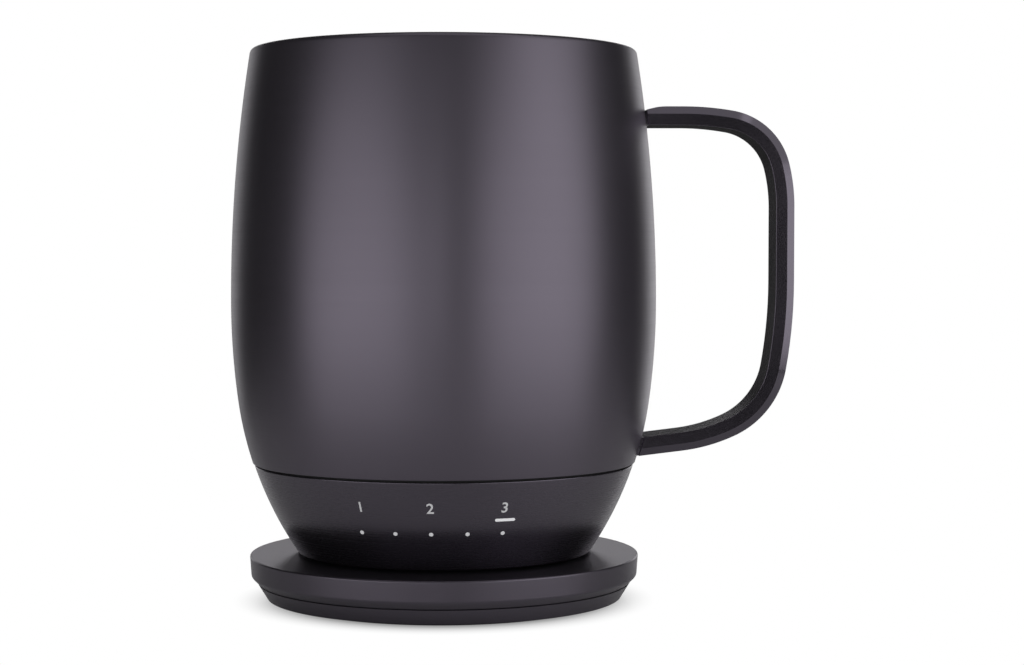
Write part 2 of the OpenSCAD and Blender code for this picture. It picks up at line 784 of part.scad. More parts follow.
// Round plate of the heater stack, drilled for the studs and the sensor
module stack_plate(r, z, t) {
    on_coaster() difference() {
        post(r, z, z + t);
        around(4, stud_circle, 0) post(stud_r + screw_play, z - cut, z + t + cut);
        post(sensor_r + screw_play, z - cut, z + t + cut);
    }
}

module heat_spreader() {
    color(steel) stack_plate(spreader_r, spreader_z, spreader_t);
}

module heater_film() {
    color(copper) stack_plate(spreader_r, film_z, film_t);
}

module mica_disc() {
    color("tan") stack_plate(clamp_r, mica_z, mica_t);
}

module clamp_plate() {
    color(steel) stack_plate(clamp_r, clamp_z, clamp_t);
}

module temperature_sensor() {
    color(soft_black) on_coaster() post(sensor_r, floor_z - sensor_h, floor_z);
}

// Handle

module handle() {
    color(satin_black) on_coaster() difference() {
        bent_bar(strap_section(), [arm_start, arm_top_z], 0, handle_path);
        rotate_extrude() barrel_band(-weld_gap, arm_low_z - strap_w, arm_top_z + strap_w);
        at_arms() post(handle_screw_r + thread_play, 0, arm_sunk + handle_thread);
        crown_cut();
    }
}

// Rounds the top arm's crown down towards the barrel
module crown_cut() {
    crown_x = barrel_r(arm_top_z, 0) + crown_l;
    crown_z = arm_top_z + strap_t / 2;
    translate([0, strap_w, 0]) rotate([90, 0, 0]) linear_extrude(2 * strap_w) difference() {
        band(crown_x - 2 * crown_l, crown_x, crown_z - crown_l, crown_z + cut);
        translate([crown_x, crown_z - crown_r]) circle(r = crown_r);
        band(crown_x - 2 * crown_l, crown_x, crown_z - 2 * crown_r, crown_z - crown_l);
    }
}

// Round plates that fill the curve between the shell and the screws' heads
module handle_plates() {
    color(steel) on_coaster() difference() {
        intersection() {
            rotate_extrude($fn = arc_fn)
                barrel_band(shell_wall + weld_gap, shell_z + hem_h + weld_gap, mug_h - lip_h);
            union() {
                at_top_arm() post(saddle_r, top_saddle, arm_sunk);
                at_low_arm() post(saddle_r, low_saddle, arm_sunk);
            }
        }
        at_arms() post(handle_screw_r + screw_play, 0, 2 * arm_sunk);
    }
}

module handle_screw(head_at) {
    translate([0, 0, head_at]) rotate([180, 0, 0])
        screw(handle_screw_r, handle_head_r, screw_head_h, arm_sunk - head_at + handle_thread - thread_end);
}

module handle_screws() {
    color(steel) on_coaster() {
        at_top_arm() handle_screw(top_saddle);
        at_low_arm() handle_screw(low_saddle);
    }
}

// Base

module base_housing() {
    color(charcoal) on_coaster() difference() {
        union() {
            rotate_extrude() difference() {
                union() {
                    barrel_band(base_inset, base_lift, base_top, base_round, base_edge);
                    band(0, spigot_r, shoulder_z, spigot_top);
                }
                band(0, cover_r + set_play, 0, cover_top);
                band(0, ledge_r, 0, spigot_top + cut);
                barrel_band(base_inset + base_wall, ledge_top, shoulder_z);
                band(0, spigot_r - spigot_wall, shoulder_z - cut, flange_z);
                band(0, flange_r, flange_z - cut, spigot_top + cut);
            }
            around(4, tray_screw_circle, corner_turn) post(screw_head_r + boss_wall, ledge_top - cut, tray_z);
            around(4, cover_screw_circle, cover_turn)
                post(screw_r + thread_play + boss_wall, ledge_top - cut, cover_boss_top);
            button_seat_boss();
            for (side = [-1, 1]) at_face(display_az + side * peg_turn, peg_z)
                post(peg_r, -led_face - led_h - flex_t - peg_proud, -base_wall / 2);
        }
        around(4, tray_screw_circle, corner_turn)
            post(screw_r + thread_play, ledge_top + thread_end, tray_z + cut);
        around(4, cover_screw_circle, cover_turn)
            post(screw_r + thread_play, cover_top - cut, cover_boss_top - thread_end);
        around(3, base_screw_circle, base_turn) post(screw_r + screw_play, flange_z - cut, spigot_top + cut);
        translate([flange_r - cut, -notch_w, shell_z + hem_h / 2]) cube([mug_r, 2 * notch_w, mug_h]);
        at_face(button_az, button_z) post(button_r + slide_play, -2 * button_seat, 2 * button_seat);
        at_face(button_az, button_z) switch_places()
            post(screw_r + thread_play, -switch_back - cut, -button_seat - cut);
        display_windows();
    }
}

// Flat seat behind the button with the two posts that carry the switch board
module button_seat_boss() {
    intersection() {
        at_face(button_az, button_z) {
            post(button_r + button_flange_w + boss_wall, -button_seat, base_wall);
            switch_places() post(screw_r + boss_wall, -switch_back, base_wall);
        }
        rotate_extrude() barrel_band(base_inset + base_wall / 2, ledge_top, flange_z);
    }
}

module switch_places() {
    for (side = [-1, 1]) translate([0, side * switch_screw_at, 0]) children();
}

// Holes for the dots and the lit bar, and thinned places for the two dark bars
module display_windows() {
    for (i = [-2 : 2]) at_face(display_az + i * dot_pitch, dot_z)
        post(dot_r + weld_gap, -2 * base_wall, cut);
    for (i = [-1 : 1]) at_face(display_az + i * bar_pitch, bar_z)
        translate([0, 0, -2 * base_wall]) rotate(90)
            linear_extrude(2 * base_wall + (i == 1 ? cut : -skin_t))
                stadium(bar_l + 2 * weld_gap, bar_w + 2 * weld_gap);
}

module base_seal() {
    color(soft_black) on_coaster() rotate_extrude()
        band(spigot_r + weld_gap, barrel_r(base_top, base_inset) - seal_depth, base_top, shell_z);
}

module mounting_ring() {
    ring_high = spigot_top + ring_t;
    color(steel) on_coaster() difference() {
        rotate_extrude() difference() {
            barrel_band(shell_wall + weld_gap, spigot_top, ring_high);
            band(0, flange_r, spigot_top - cut, ring_high + cut);
        }
        around(3, base_screw_circle, base_turn)
            post(screw_r + thread_play, spigot_top - cut, ring_high + cut);
        translate([flange_r - cut, -notch_w, spigot_top - cut]) cube([mug_r, 2 * notch_w, mug_h]);
    }
}

module base_screws() {
    color(steel) on_coaster() around(3, base_screw_circle, base_turn)
        translate([0, 0, flange_z]) rotate([180, 0, 0])
            screw(screw_r, screw_head_r, screw_head_h, flange_t + ring_t);
}

// Bottom cover

module bottom_cover() {
    seal_groove_r = cover_r + set_play - weld_gap - 2 * cover_seal_r - weld_gap;
    pocket_r = screw_head_r + screw_play;
    color(satin_black) on_coaster() difference() {
        union() {
            rotate_extrude() difference() {
                band(0, cover_r, cover_low, cover_top);
                band(0, recess_r, 0, recess_z);
                band(foot_in_r - weld_gap, foot_out_r + weld_gap, 0, foot_h);
                band(seal_groove_r, cover_r + cut, cover_seal_z - cover_seal_r - weld_gap,
                    cover_seal_z + cover_seal_r + weld_gap);
                for (r = [inner_ring_r, outer_ring_r])
                    band(r - contact_w / 2 - weld_gap, r + contact_w / 2 + weld_gap, 0, recess_z + contact_t);
            }
            around(4, board_screw_circle, corner_turn) post(screw_r + boss_wall, cover_top - cut, board_z);
        }
        contact_posts() post(contact_post_r + weld_gap, 0, board_z);
        around(4, board_screw_circle, corner_turn)
            post(screw_r + thread_play, cover_top - thread_end, board_z + cut);
        around(4, cover_screw_circle, cover_turn) {
            post(screw_r + screw_play, 0, cover_top + cut);
            post(pocket_r, 0, cover_head_z);
        }
    }
}

// Places of the posts that lead from the charging rings to the main board
module contact_posts() {
    around(2, inner_ring_r, 90) children();
    around(2, outer_ring_r, 0) children();
}

module cover_seal() {
    color(soft_black) on_coaster() rotate_extrude()
        translate([cover_r + set_play - weld_gap - cover_seal_r, cover_seal_z]) circle(r = cover_seal_r);
}

module cover_screws() {
    color(steel) on_coaster() around(4, cover_screw_circle, cover_turn)
        translate([0, 0, cover_head_z]) rotate([180, 0, 0])
            screw(screw_r, screw_head_r, screw_head_h, cover_boss_top - 2 * thread_end - cover_head_z);
}

module mug_foot_ring() {
    color(soft_black) on_coaster() rotate_extrude() band(foot_in_r, foot_out_r, 0, foot_h);
}

module contact_ring(r, first) {
    color(copper) on_coaster() {
        rotate_extrude() band(r - contact_w / 2, r + contact_w / 2, recess_z, recess_z + contact_t);
        around(2, r, first) post(contact_post_r, recess_z, board_z);
    }
}

module contact_ring_inner() {
    contact_ring(inner_ring_r, 90);
}

module contact_ring_outer() {
    contact_ring(outer_ring_r, 0);
}

// Boards and leads

module main_board() {
    color(board_green) on_coaster() difference() {
        post(board_r, board_z, board_top);
        around(4, board_screw_circle, corner_turn)
            post(screw_r + screw_play, board_z - cut, board_top + cut);
    }
}

// Chips standing on a board's face
module chips(places, r, z) {
    for (c = places) translate([c[0] * r, c[1] * r, 0]) block(c[2], c[3], z, z + chip_h * c[4]);
}

module main_board_chips() {
    color(soft_black) on_coaster() {
        for (plug = [[180, heater_lead_spread], [0, battery_lead_spread], [90, switch_lead_spread]])
            rotate(plug[0]) translate([plug_r - plug_l / 2, 0, 0])
                block(plug_l, 2 * (plug[1] + plug_margin), board_top, board_top + chip_h);
        chips(main_chips, board_r, board_top);
    }
}

module board_screws() {
    color(steel) on_coaster() around(4, board_screw_circle, corner_turn) translate([0, 0, board_top])
        screw(screw_r, screw_head_r, screw_head_h, board_t + standoff_h);
}

module heater_leads() {
    color("firebrick") on_coaster() lead_pair(180, heater_lead_spread, heater_lead_at, film_z);
}

module battery_leads() {
    color("darkred") on_coaster() lead_pair(0, battery_lead_spread, battery_lead_at, cell_z);
}

module switch_leads() {
    depth = switch_board_back - board_t / 2;
    drop = switch_board_half;
    color("gold") on_coaster() lead_pair(button_az, switch_lead_spread, face_r(button_z, depth, drop),
        face_z(button_z, depth, drop) - lead_gap);
}

// Battery

module battery_tray() {
    color(satin_black) on_coaster() difference() {
        union() {
            intersection() {
                block(2 * tray_half_x, 2 * tray_half_y, tray_z, tray_top);
                post(tray_round_r, tray_z, tray_top);
            }
            block(2 * cell_end, 2 * cradle_half_y, tray_z, cradle_top);
            for (side = [-1, 1]) translate([side * (tray_end + tray_end_t / 2), 0, 0])
                block(tray_end_t, 2 * cradle_half_y, tray_z, cradle_top);
        }
        for (side = [-1, 1]) translate([-cell_end - cut, side * cell_y, cell_z]) rotate([0, 90, 0])
            cylinder(r = cell_r + set_play, h = cell_len + 2 * cut);
        around(4, tray_screw_circle, corner_turn) post(screw_r + screw_play, tray_z - cut, tray_top + cut);
        for (side = [-1, 1]) translate([tray_half_x, side * battery_lead_spread, 0])
            block(2 * (tray_half_x - battery_lead_at + lead_slot), 2 * lead_slot, tray_z - cut,
                cradle_top + cut);
    }
}

module tray_screws() {
    color(steel) on_coaster() around(4, tray_screw_circle, corner_turn) translate([0, 0, tray_top])
        screw(screw_r, screw_head_r, screw_head_h, tray_top - ledge_top - 2 * thread_end);
}

// Cell along X with its raised terminal at one end
module cell(side) {
    color([0.15, 0.35, 0.55]) on_coaster() translate([0, side * cell_y, cell_z]) rotate([0, side * 90, 0]) {
        post(cell_r, -cell_end, cell_end - terminal_h);
        post(terminal_r, 0, cell_end);
    }
}

module battery_cell_1() {
    cell(1);
}

module battery_cell_2() {
    cell(-1);
}

module battery_tabs() {
    tab_w = cell_d * 0.8;
    color(steel) on_coaster() {
        translate([-cell_end - tab_t / 2, 0, 0])
            block(tab_t, 2 * cell_y + tab_w, cell_z - tab_half_h, cell_z + tab_half_h);
        for (side = [-1, 1]) translate([cell_end + tab_t / 2, side * cell_y, 0])
            block(tab_t, tab_w, cell_z - tab_half_h, cell_z + tab_half_h);
    }
}

// Lights

module indicator_board() {
    color(board_green) on_coaster() difference() {
        rotate(display_az - flex_span) rotate_extrude(angle = 2 * flex_span) difference() {
            barrel_band(flex_out, flex_low, flex_high);
            barrel_band(flex_out + flex_t, flex_low - cut, flex_high + cut);
        }
        for (side = [-1, 1]) at_face(display_az + side * peg_turn, peg_z)
            post(peg_r + screw_play, -2 * led_face - 2 * led_h, 0);
    }
}

module indicator_leds() {
    led_w = 1;
    dot_led_l = 1.6;
    bar_led_l = 3;
    color(white_light) on_coaster() {
        for (i = [-2 : 2]) at_face(display_az + i * dot_pitch, dot_z)
            block(led_w, dot_led_l, -led_face - led_h, -led_face);
        for (i = [-1 : 1]) at_face(display_az + i * bar_pitch, bar_z)
            block(led_w, bar_led_l, -led_face - led_h, -led_face);
    }
}

module indicator_ribbon() {
    ribbon_w = 8;
    ribbon_lap = 5;
    ribbon_in = board_r - ribbon_lap;
    ribbon_out = barrel_r(board_top, flex_out + flex_t) - screw_play;
    color(copper) on_coaster() rotate(display_az) translate([(ribbon_in + ribbon_out) / 2, 0, 0])
        block(ribbon_out - ribbon_in, ribbon_w, board_top, board_top + flex_t);
}

module dot_lenses() {
    color(white_light) on_coaster() for (i = [-2 : 2])
        at_face(display_az + i * dot_pitch, dot_z) post(dot_r, weld_gap - led_face, weld_gap);
}

module level_bar_lens() {
    color(white_light) on_coaster() at_face(display_az + bar_pitch, bar_z)
        translate([0, 0, weld_gap - led_face]) rotate(90) linear_extrude(led_face) stadium(bar_l, bar_w);
}

// Power button

module power_button() {
    edge = 0.4;
    color(satin_black) on_coaster() at_face(button_az, button_z) rotate_extrude() {
        band(0, button_r, -flange_back, button_proud - edge);
        band(0, button_r - edge, -flange_back, button_proud);
        translate([button_r - edge, button_proud - edge]) circle(r = edge);
        band(0, button_r + button_flange_w, -flange_back, -button_seat - weld_gap);
        band(0, stem_r, -stem_end, 0);
    }
}

module button_spring() {
    wire_r = 0.2;
    color(steel) on_coaster() at_face(button_az, button_z) translate([0, 0, -switch_top + weld_gap])
        coil(stem_r + 3 * wire_r + slide_play, wire_r, 3, switch_top - flange_back - 2 * weld_gap);
}

module button_switch() {
    color(soft_black) on_coaster() at_face(button_az, button_z) difference() {
        block(switch_w, switch_w, -switch_back, -switch_top);
        post(plunger_r + slide_play, switch_floor - switch_back, 0);
    }
}

module switch_plunger() {
    color(copper) on_coaster() at_face(button_az, button_z)
        post(plunger_r, switch_floor - switch_back + button_travel + slide_play, -plunger_top);
}

module switch_board() {
    half_l = switch_screw_at + screw_head_r + screw_play;
    color(board_green) on_coaster() at_face(button_az, button_z) difference() {
        block(2 * switch_board_half, 2 * half_l, -switch_board_back, -switch_back);
        switch_places() post(screw_r + screw_play, -switch_board_back - cut, 0);
    }
}

module switch_screws() {
    color(steel) on_coaster() at_face(button_az, button_z) switch_places()
        translate([0, 0, -switch_board_back]) rotate([180, 0, 0])
            screw(screw_r, screw_head_r, screw_head_h, board_t + switch_thread);
}

// Coaster

// Centre of a rounding of radius r that touches the leaning side wall at a height
function side_centre(r, z) = coaster_r - ((coaster_h - z) * sin(side_lean) + r) / cos(side_lean);

// Half section of the coaster above its parting line
module coaster_outline() {
    round_x = side_centre(side_round, side_round_z);
    edge_x = side_centre(top_edge, coaster_h - top_edge);
    side_dir = [cos(side_lean), -sin(side_lean)];
    under_dir = [cos(45), -sin(45)];
    round_c = [round_x, side_round_z];
    edge_c = [edge_x, coaster_h - top_edge];
    under_p = round_c + side_round * under_dir;
    polygon([
        [0, parting_z], [under_p[0] - (under_p[1] - parting_z), parting_z], under_p, round_c,
        round_c + side_round * side_dir, edge_c + top_edge * side_dir, edge_c,
        [edge_x, coaster_h], [0, coaster_h]]);
    translate(round_c) circle(r = side_round);
    translate(edge_c) circle(r = top_edge);
}

module inlet_section(grow) {
    translate([0, inlet_z]) stadium(inlet_w + 2 * grow, inlet_h + 2 * grow);
}

// Extrudes a section in the XZ plane from one depth along +Y to another
module along_y(y0, y1) {
    translate([0, y1, 0]) rotate([90, 0, 0]) linear_extrude(y1 - y0) children();
}

// Places of the two charging pins
module at_inner_pin() {
    translate([inner_ring_r, 0, 0]) children();
}

module at_outer_pin() {
    translate([-outer_ring_r, 0, 0]) children();
}

module at_pins() {
    at_inner_pin() children();
    at_outer_pin() children();
}

module coaster_top() {
    color(satin_black) difference() {
        union() {
            rotate_extrude() difference() {
                union() {
                    coaster_outline();
                    band(0, boss_r, coaster_h - cut, coaster_h + boss_h);
                }
                band(0, hollow_r, parting_z - cut, ceiling_z);
            }
            around(4, coaster_screw_circle, corner_turn)
                post(screw_r + thread_play + boss_wall, floor_top, ceiling_z + top_t / 2);
        }
        around(4, coaster_screw_circle, corner_turn)
            post(screw_r + thread_play, floor_top - cut, ceiling_z - thread_end);
        at_pins() post(sleeve_r + set_play, ceiling_z - cut, coaster_h + boss_h + cut);
        along_y(inlet_mouth - inlet_l, coaster_r + cut) inlet_section(set_play);
    }
}

// Floor with the conical foot, and the rim that enters the coaster's top
module coaster_bottom() {
    foot_top = parting_z - parting_gap;
    rim_top = parting_z + 1.6;
    rim_t = 1.6;
    rim_r = hollow_r - set_play;
    color(satin_black) difference() {
        union() {
            rotate_extrude() difference() {
                union() {
                    polygon([[0, foot_lift], [foot_low_r, foot_lift], [foot_top_r, foot_top], [0, foot_top]]);
                    band(0, rim_r, foot_lift, rim_top);
                }
                band(0, rim_r - rim_t, floor_top, rim_top + cut);
                band(pad_in_r - weld_gap, pad_out_r + weld_gap, 0, foot_lift + pad_sunk);
            }
            around(4, pcb_post_circle, corner_turn) post(screw_head_r, floor_top - floor_t / 2, pcb_z);
        }
        around(4, coaster_screw_circle, corner_turn) post(screw_r + screw_play, 0, floor_top + cut);
        translate([0, hollow_r, 0]) block(pcb_tongue_w + 2 * set_play, hollow_r, foot_top, coaster_h);
    }
}

module coaster_foot_ring() {
    color(soft_black) difference() {
        rotate_extrude() band(pad_in_r, pad_out_r, 0, foot_lift + pad_sunk);
        around(4, coaster_screw_circle, corner_turn)
            post(screw_head_r + screw_play, foot_lift + pad_sunk - screw_head_h - weld_gap, coaster_h);
    }
}

module coaster_screws() {
    head_z = foot_lift + pad_sunk;
    color(steel) around(4, coaster_screw_circle, corner_turn) translate([0, 0, head_z]) rotate([180, 0, 0])
        screw(screw_r, screw_head_r, screw_head_h, ceiling_z - 2 * thread_end - head_z);
}

// Round board with a tongue that carries the power inlet
module coaster_board() {
    tongue_end = sqrt(pow(hollow_r, 2) - pow(pcb_tongue_w / 2, 2)) - set_play;
    color(board_green) {
        post(pcb_r, pcb_z, pcb_top);
        translate([0, tongue_end / 2, 0]) block(pcb_tongue_w, tongue_end, pcb_z, pcb_top);
    }
}

module coaster_board_chips() {
    color(soft_black) chips(coaster_chips, pcb_r, pcb_top);
}

module power_inlet_shell() {
    color(steel) difference() {
        along_y(inlet_mouth - inlet_l, inlet_mouth) inlet_section(0);
        along_y(inlet_mouth - inlet_l + inlet_wall, inlet_mouth + cut) inlet_section(-inlet_wall);
    }
}

module power_inlet_tongue() {
    tongue_w = 6.7;
    tongue_t = 0.7;
    tongue_sunk = 0.6;
    back = inlet_mouth - inlet_l + inlet_wall;
    color(soft_black) {
        along_y(back, back + inlet_l / 5) inlet_section(-inlet_wall - weld_gap);
        along_y(back, inlet_mouth - tongue_sunk) translate([0, inlet_z])
            square([tongue_w, tongue_t], center = true);
    }
}

module pin_sleeves() {
    color(copper) at_pins() rotate_extrude() difference() {
        band(0, sleeve_r, pcb_top, sleeve_top);
        band(0, collar_r + slide_play / 2, sleeve_floor, sleeve_top - sleeve_mouth_t);
        band(0, pin_r + slide_play / 2, sleeve_floor, sleeve_top + cut);
    }
}

// Pin with a collar that stops under the sleeve's mouth and a domed tip
module contact_pin() {
    color(copper) rotate_extrude() {
        band(0, collar_r, collar_top - collar_h, collar_top);
        band(0, pin_r, collar_top - collar_h, pin_tip - pin_r);
        intersection() {
            translate([0, pin_tip - pin_r]) circle(r = pin_r);
            band(0, pin_r, pin_tip - pin_r, pin_tip);
        }
    }
}

module contact_pin_inner() {
    at_inner_pin() contact_pin();
}

module contact_pin_outer() {
    at_outer_pin() contact_pin();
}

module pin_spring() {
    wire_r = 0.15;
    color(steel) translate([0, 0, sleeve_floor + weld_gap])
        coil(collar_r - wire_r - slide_play, wire_r, 4, collar_top - collar_h - sleeve_floor - 2 * weld_gap);
}

module pin_spring_inner() {
    at_inner_pin() pin_spring();
}

module pin_spring_outer() {
    at_outer_pin() pin_spring();
}

mug_shell();
mug_liner();
liner_studs();
heater_nuts();
heat_spreader();
heater_film();
mica_disc();
clamp_plate();
temperature_sensor();
handle();
handle_plates();
handle_screws();
base_housing();
base_seal();
mounting_ring();
base_screws();
bottom_cover();
cover_seal();
cover_screws();
mug_foot_ring();
contact_ring_inner();
contact_ring_outer();
main_board();
main_board_chips();
board_screws();
battery_tray();
tray_screws();
battery_cell_1();
battery_cell_2();
battery_tabs();
indicator_board();
indicator_leds();
indicator_ribbon();
dot_lenses();
level_bar_lens();
power_button();
button_spring();
button_switch();
switch_plunger();
switch_board();
switch_screws();
heater_leads();
battery_leads();
switch_leads();
coaster_top();
coaster_bottom();
coaster_foot_ring();
coaster_screws();
coaster_board();
coaster_board_chips();
power_inlet_shell();
power_inlet_tongue();
pin_sleeves();
contact_pin_inner();
contact_pin_outer();
pin_spring_inner();
pin_spring_outer();
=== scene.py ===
"""Looks of a heated mug on its charging coaster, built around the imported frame.

Sizes are millimetres in the classes of the object, and metres in the studio and in Blender's own data.
Heights of the mug's pieces count from the coaster's top, as the mug stands on it.
"""

import json
import logging
import math
from collections.abc import Mapping, Sequence
from dataclasses import dataclass, replace
from enum import Enum
from functools import cache

import bmesh
import bpy
from mathutils import Matrix, Vector


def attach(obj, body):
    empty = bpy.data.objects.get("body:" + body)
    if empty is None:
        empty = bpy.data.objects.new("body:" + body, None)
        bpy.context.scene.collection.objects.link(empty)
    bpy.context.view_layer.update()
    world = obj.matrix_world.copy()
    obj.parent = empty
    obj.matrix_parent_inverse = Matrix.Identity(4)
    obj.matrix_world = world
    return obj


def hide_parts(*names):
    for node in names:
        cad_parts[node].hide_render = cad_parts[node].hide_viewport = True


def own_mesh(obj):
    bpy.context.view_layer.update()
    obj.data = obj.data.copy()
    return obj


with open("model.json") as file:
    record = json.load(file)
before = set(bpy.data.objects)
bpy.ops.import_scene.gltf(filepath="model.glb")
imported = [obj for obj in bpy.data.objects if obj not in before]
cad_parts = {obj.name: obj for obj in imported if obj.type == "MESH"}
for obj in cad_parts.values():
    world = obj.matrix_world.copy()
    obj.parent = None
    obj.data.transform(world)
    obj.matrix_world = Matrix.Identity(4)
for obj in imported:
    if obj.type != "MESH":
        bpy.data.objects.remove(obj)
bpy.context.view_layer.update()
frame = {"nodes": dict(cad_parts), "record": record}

LOG = logging.getLogger("mug")
MM = 0.001
Point = tuple[float, float]
Triple = tuple[float, float, float]


class Body(Enum):
    """Bodies of the frame that new pieces ride on."""

    COASTER = "coaster"
    MUG = "mug"


# Node tools


class Field:
    """Output of a node: a number to reckon with, or a vector, colour or shape to pass on."""

    def __init__(self, tree: "NodeTree", socket: bpy.types.NodeSocket) -> None:
        """Keeps the socket and the tree that its node is in."""
        self.tree = tree
        self.socket = socket

    def _math(self, operation: str, first: "Value", second: "Value" = 0.0) -> "Field":
        """Result of a Math node."""
        return self.tree.field("ShaderNodeMath", {"operation": operation}, {0: first, 1: second})

    def __add__(self, other: "Value") -> "Field":
        """Sum of two numbers."""
        return self._math("ADD", self, other)

    __radd__ = __add__

    def __sub__(self, other: "Value") -> "Field":
        """Difference of two numbers."""
        return self._math("SUBTRACT", self, other)

    def __rsub__(self, other: "Value") -> "Field":
        """Difference with this field on the right."""
        return self._math("SUBTRACT", other, self)

    def __mul__(self, other: "Value") -> "Field":
        """Product of two numbers."""
        return self._math("MULTIPLY", self, other)

    __rmul__ = __mul__

    def rounded(self) -> "Field":
        """Nearest whole number."""
        return self._math("ROUND", self)

    def sign(self) -> "Field":
        """1 above zero, -1 below it and 0 at it."""
        return self._math("SIGN", self)

    def at_most(self, limit: "Value") -> "Field":
        """The number, or the limit where that is smaller."""
        return self._math("MINIMUM", self, limit)

    def mixed(self, other: "Field", share: float) -> "Field":
        """Sum of this number's share and another number's rest."""
        return self * share + other * (1 - share)

    def swing(self, span: float) -> "Field":
        """Change about zero by a number that runs from 0 to 1."""
        return (self - 0.5) * span

    def above(self, edge: float, width: float) -> "Field":
        """Smooth step from 0 to 1, with its middle at an edge."""
        sockets = {"Value": self, "From Min": edge - width / 2, "From Max": edge + width / 2}
        return self.tree.field("ShaderNodeMapRange", {"interpolation_type": "SMOOTHSTEP"}, sockets)

    def axis(self, name: str) -> "Field":
        """One of a vector's three numbers."""
        return self.tree.field("ShaderNodeSeparateXYZ", None, {0: self}, name)

    def vector(self, operation: str, sockets: "Sockets", output: str | int = 0) -> "Field":
        """Result of a Vector Math node on this vector."""
        return self.tree.field("ShaderNodeVectorMath", {"operation": operation}, {0: self, **sockets}, output)


Value = Field | float | str | Sequence[float]
Sockets = Mapping[str | int, Value]
Settings = Mapping[str, object]


class NodeTree:
    """Node tree that is put together node by node."""

    def __init__(self, tree: bpy.types.NodeTree) -> None:
        """Empties a tree and keeps it."""
        tree.nodes.clear()
        self.tree = tree

    def node(
        self, kind: str, settings: Settings | None = None, sockets: Sockets | None = None
    ) -> bpy.types.Node:
        """Adds any node.

        Args:
            kind: Blender's name of the node type.
            settings: Properties of the node, set before its sockets.
            sockets: Values or links of its input sockets, by name or index.

        Returns:
            The new node.
        """
        node = self.tree.nodes.new(kind)
        for key, value in (settings or {}).items():
            setattr(node, key, value)
        for key, value in (sockets or {}).items():
            if isinstance(value, Field):
                self.tree.links.new(value.socket, node.inputs[key])
            else:
                node.inputs[key].default_value = value
        return node

    def field(
        self, kind: str, settings: Settings | None = None, sockets: Sockets | None = None,
        output: str | int = 0,
    ) -> Field:
        """Adds any node and gives one of its outputs, by name or index."""
        return Field(self, self.node(kind, settings, sockets).outputs[output])


class Sheet(NodeTree):
    """Node tree of one material, with a shader at its end."""

    NOISE_DETAIL = 2.0
    RING_DETAIL = 3.0
    LEVEL = (1, 1, 0)
    MIX_INPUTS = (0, 6, 7)
    MIX_RESULT = 2

    def __init__(self, name: str) -> None:
        """Makes an empty material.

        Args:
            name: Name of the material.
        """
        self.material = bpy.data.materials.new(name)
        self.material.use_nodes = True
        super().__init__(self.material.node_tree)

    def place(self) -> Field:
        """Object coordinates of the shaded point."""
        return self.field("ShaderNodeTexCoord", output="Object")

    def axis_distance(self) -> Field:
        """Distance of the shaded point from the mug's axis."""
        return self.place().vector("MULTIPLY", {1: self.LEVEL}).vector("LENGTH", {}, "Value")

    def stretched(self, scale: Triple) -> Field:
        """Object coordinates scaled along the axes."""
        return self.field("ShaderNodeMapping", None, {"Vector": self.place(), "Scale": scale})

    def _noise(self, vector: Field, detail: float) -> Field:
        """Noise from 0 to 1 in cells of one unit."""
        return self.field("ShaderNodeTexNoise", None, {"Vector": vector, "Scale": 1.0, "Detail": detail})

    def noise(self, scale: Triple) -> Field:
        """Noise with so many cells per metre along X, Y and Z."""
        return self._noise(self.stretched(scale), self.NOISE_DETAIL)

    def rings(self, scale: float) -> Field:
        """Noise in rings about the mug's axis, so many per metre along it and away from it."""
        sockets = {"X": self.axis_distance() * scale, "Y": self.place().axis("Z") * scale}
        return self._noise(self.field("ShaderNodeCombineXYZ", None, sockets), self.RING_DETAIL)

    def between(self, first: Triple, second: Triple, share: Field) -> Field:
        """Colour between two others."""
        sockets = dict(zip(self.MIX_INPUTS, (share, (*first, 1.0), (*second, 1.0))))
        return self.field("ShaderNodeMix", {"data_type": "RGBA"}, sockets, self.MIX_RESULT)

    def shade(self, base: Triple, spread: float, tone: Field) -> Field:
        """Colour that varies about a base.

        Args:
            base: Middle colour.
            spread: Largest change as a share of the base.
            tone: Field from 0 to 1 that carries the change.

        Returns:
            The varied colour.
        """
        dark = tuple(c * (1 - spread) for c in base)
        light = tuple(min(1.0, c * (1 + spread)) for c in base)
        return self.between(dark, light, tone)

    def bump(self, height: Field, depth: float) -> Field:
        """Normal bent by a relief from 0 to 1, with its depth in millimetres."""
        return self.field("ShaderNodeBump", None, {"Distance": depth * MM, "Height": height})

    def finish(self, kind: str, sockets: Sockets) -> bpy.types.Material:
        """Ends the tree in one shader and gives the material."""
        self.node("ShaderNodeOutputMaterial", None, {"Surface": self.field(kind, None, sockets)})
        return self.material


# Finishes

PRINCIPLED = "ShaderNodeBsdfPrincipled"
COOL: Triple = (0.91, 0.81, 1.0)
WHITE: Triple = (1.0, 1.0, 1.0)


@dataclass(frozen=True)
class Finish:
    """Finish of a piece, with reliefs in millimetres and noises in cells per metre."""

    name: str

    def sockets(self, sheet: Sheet) -> Sockets:
        """Inputs of the shader, made on the sheet of the material."""
        raise NotImplementedError

    def make(self) -> bpy.types.Material:
        """Builds the material."""
        sheet = Sheet(self.name)
        return sheet.finish(PRINCIPLED, self.sockets(sheet))


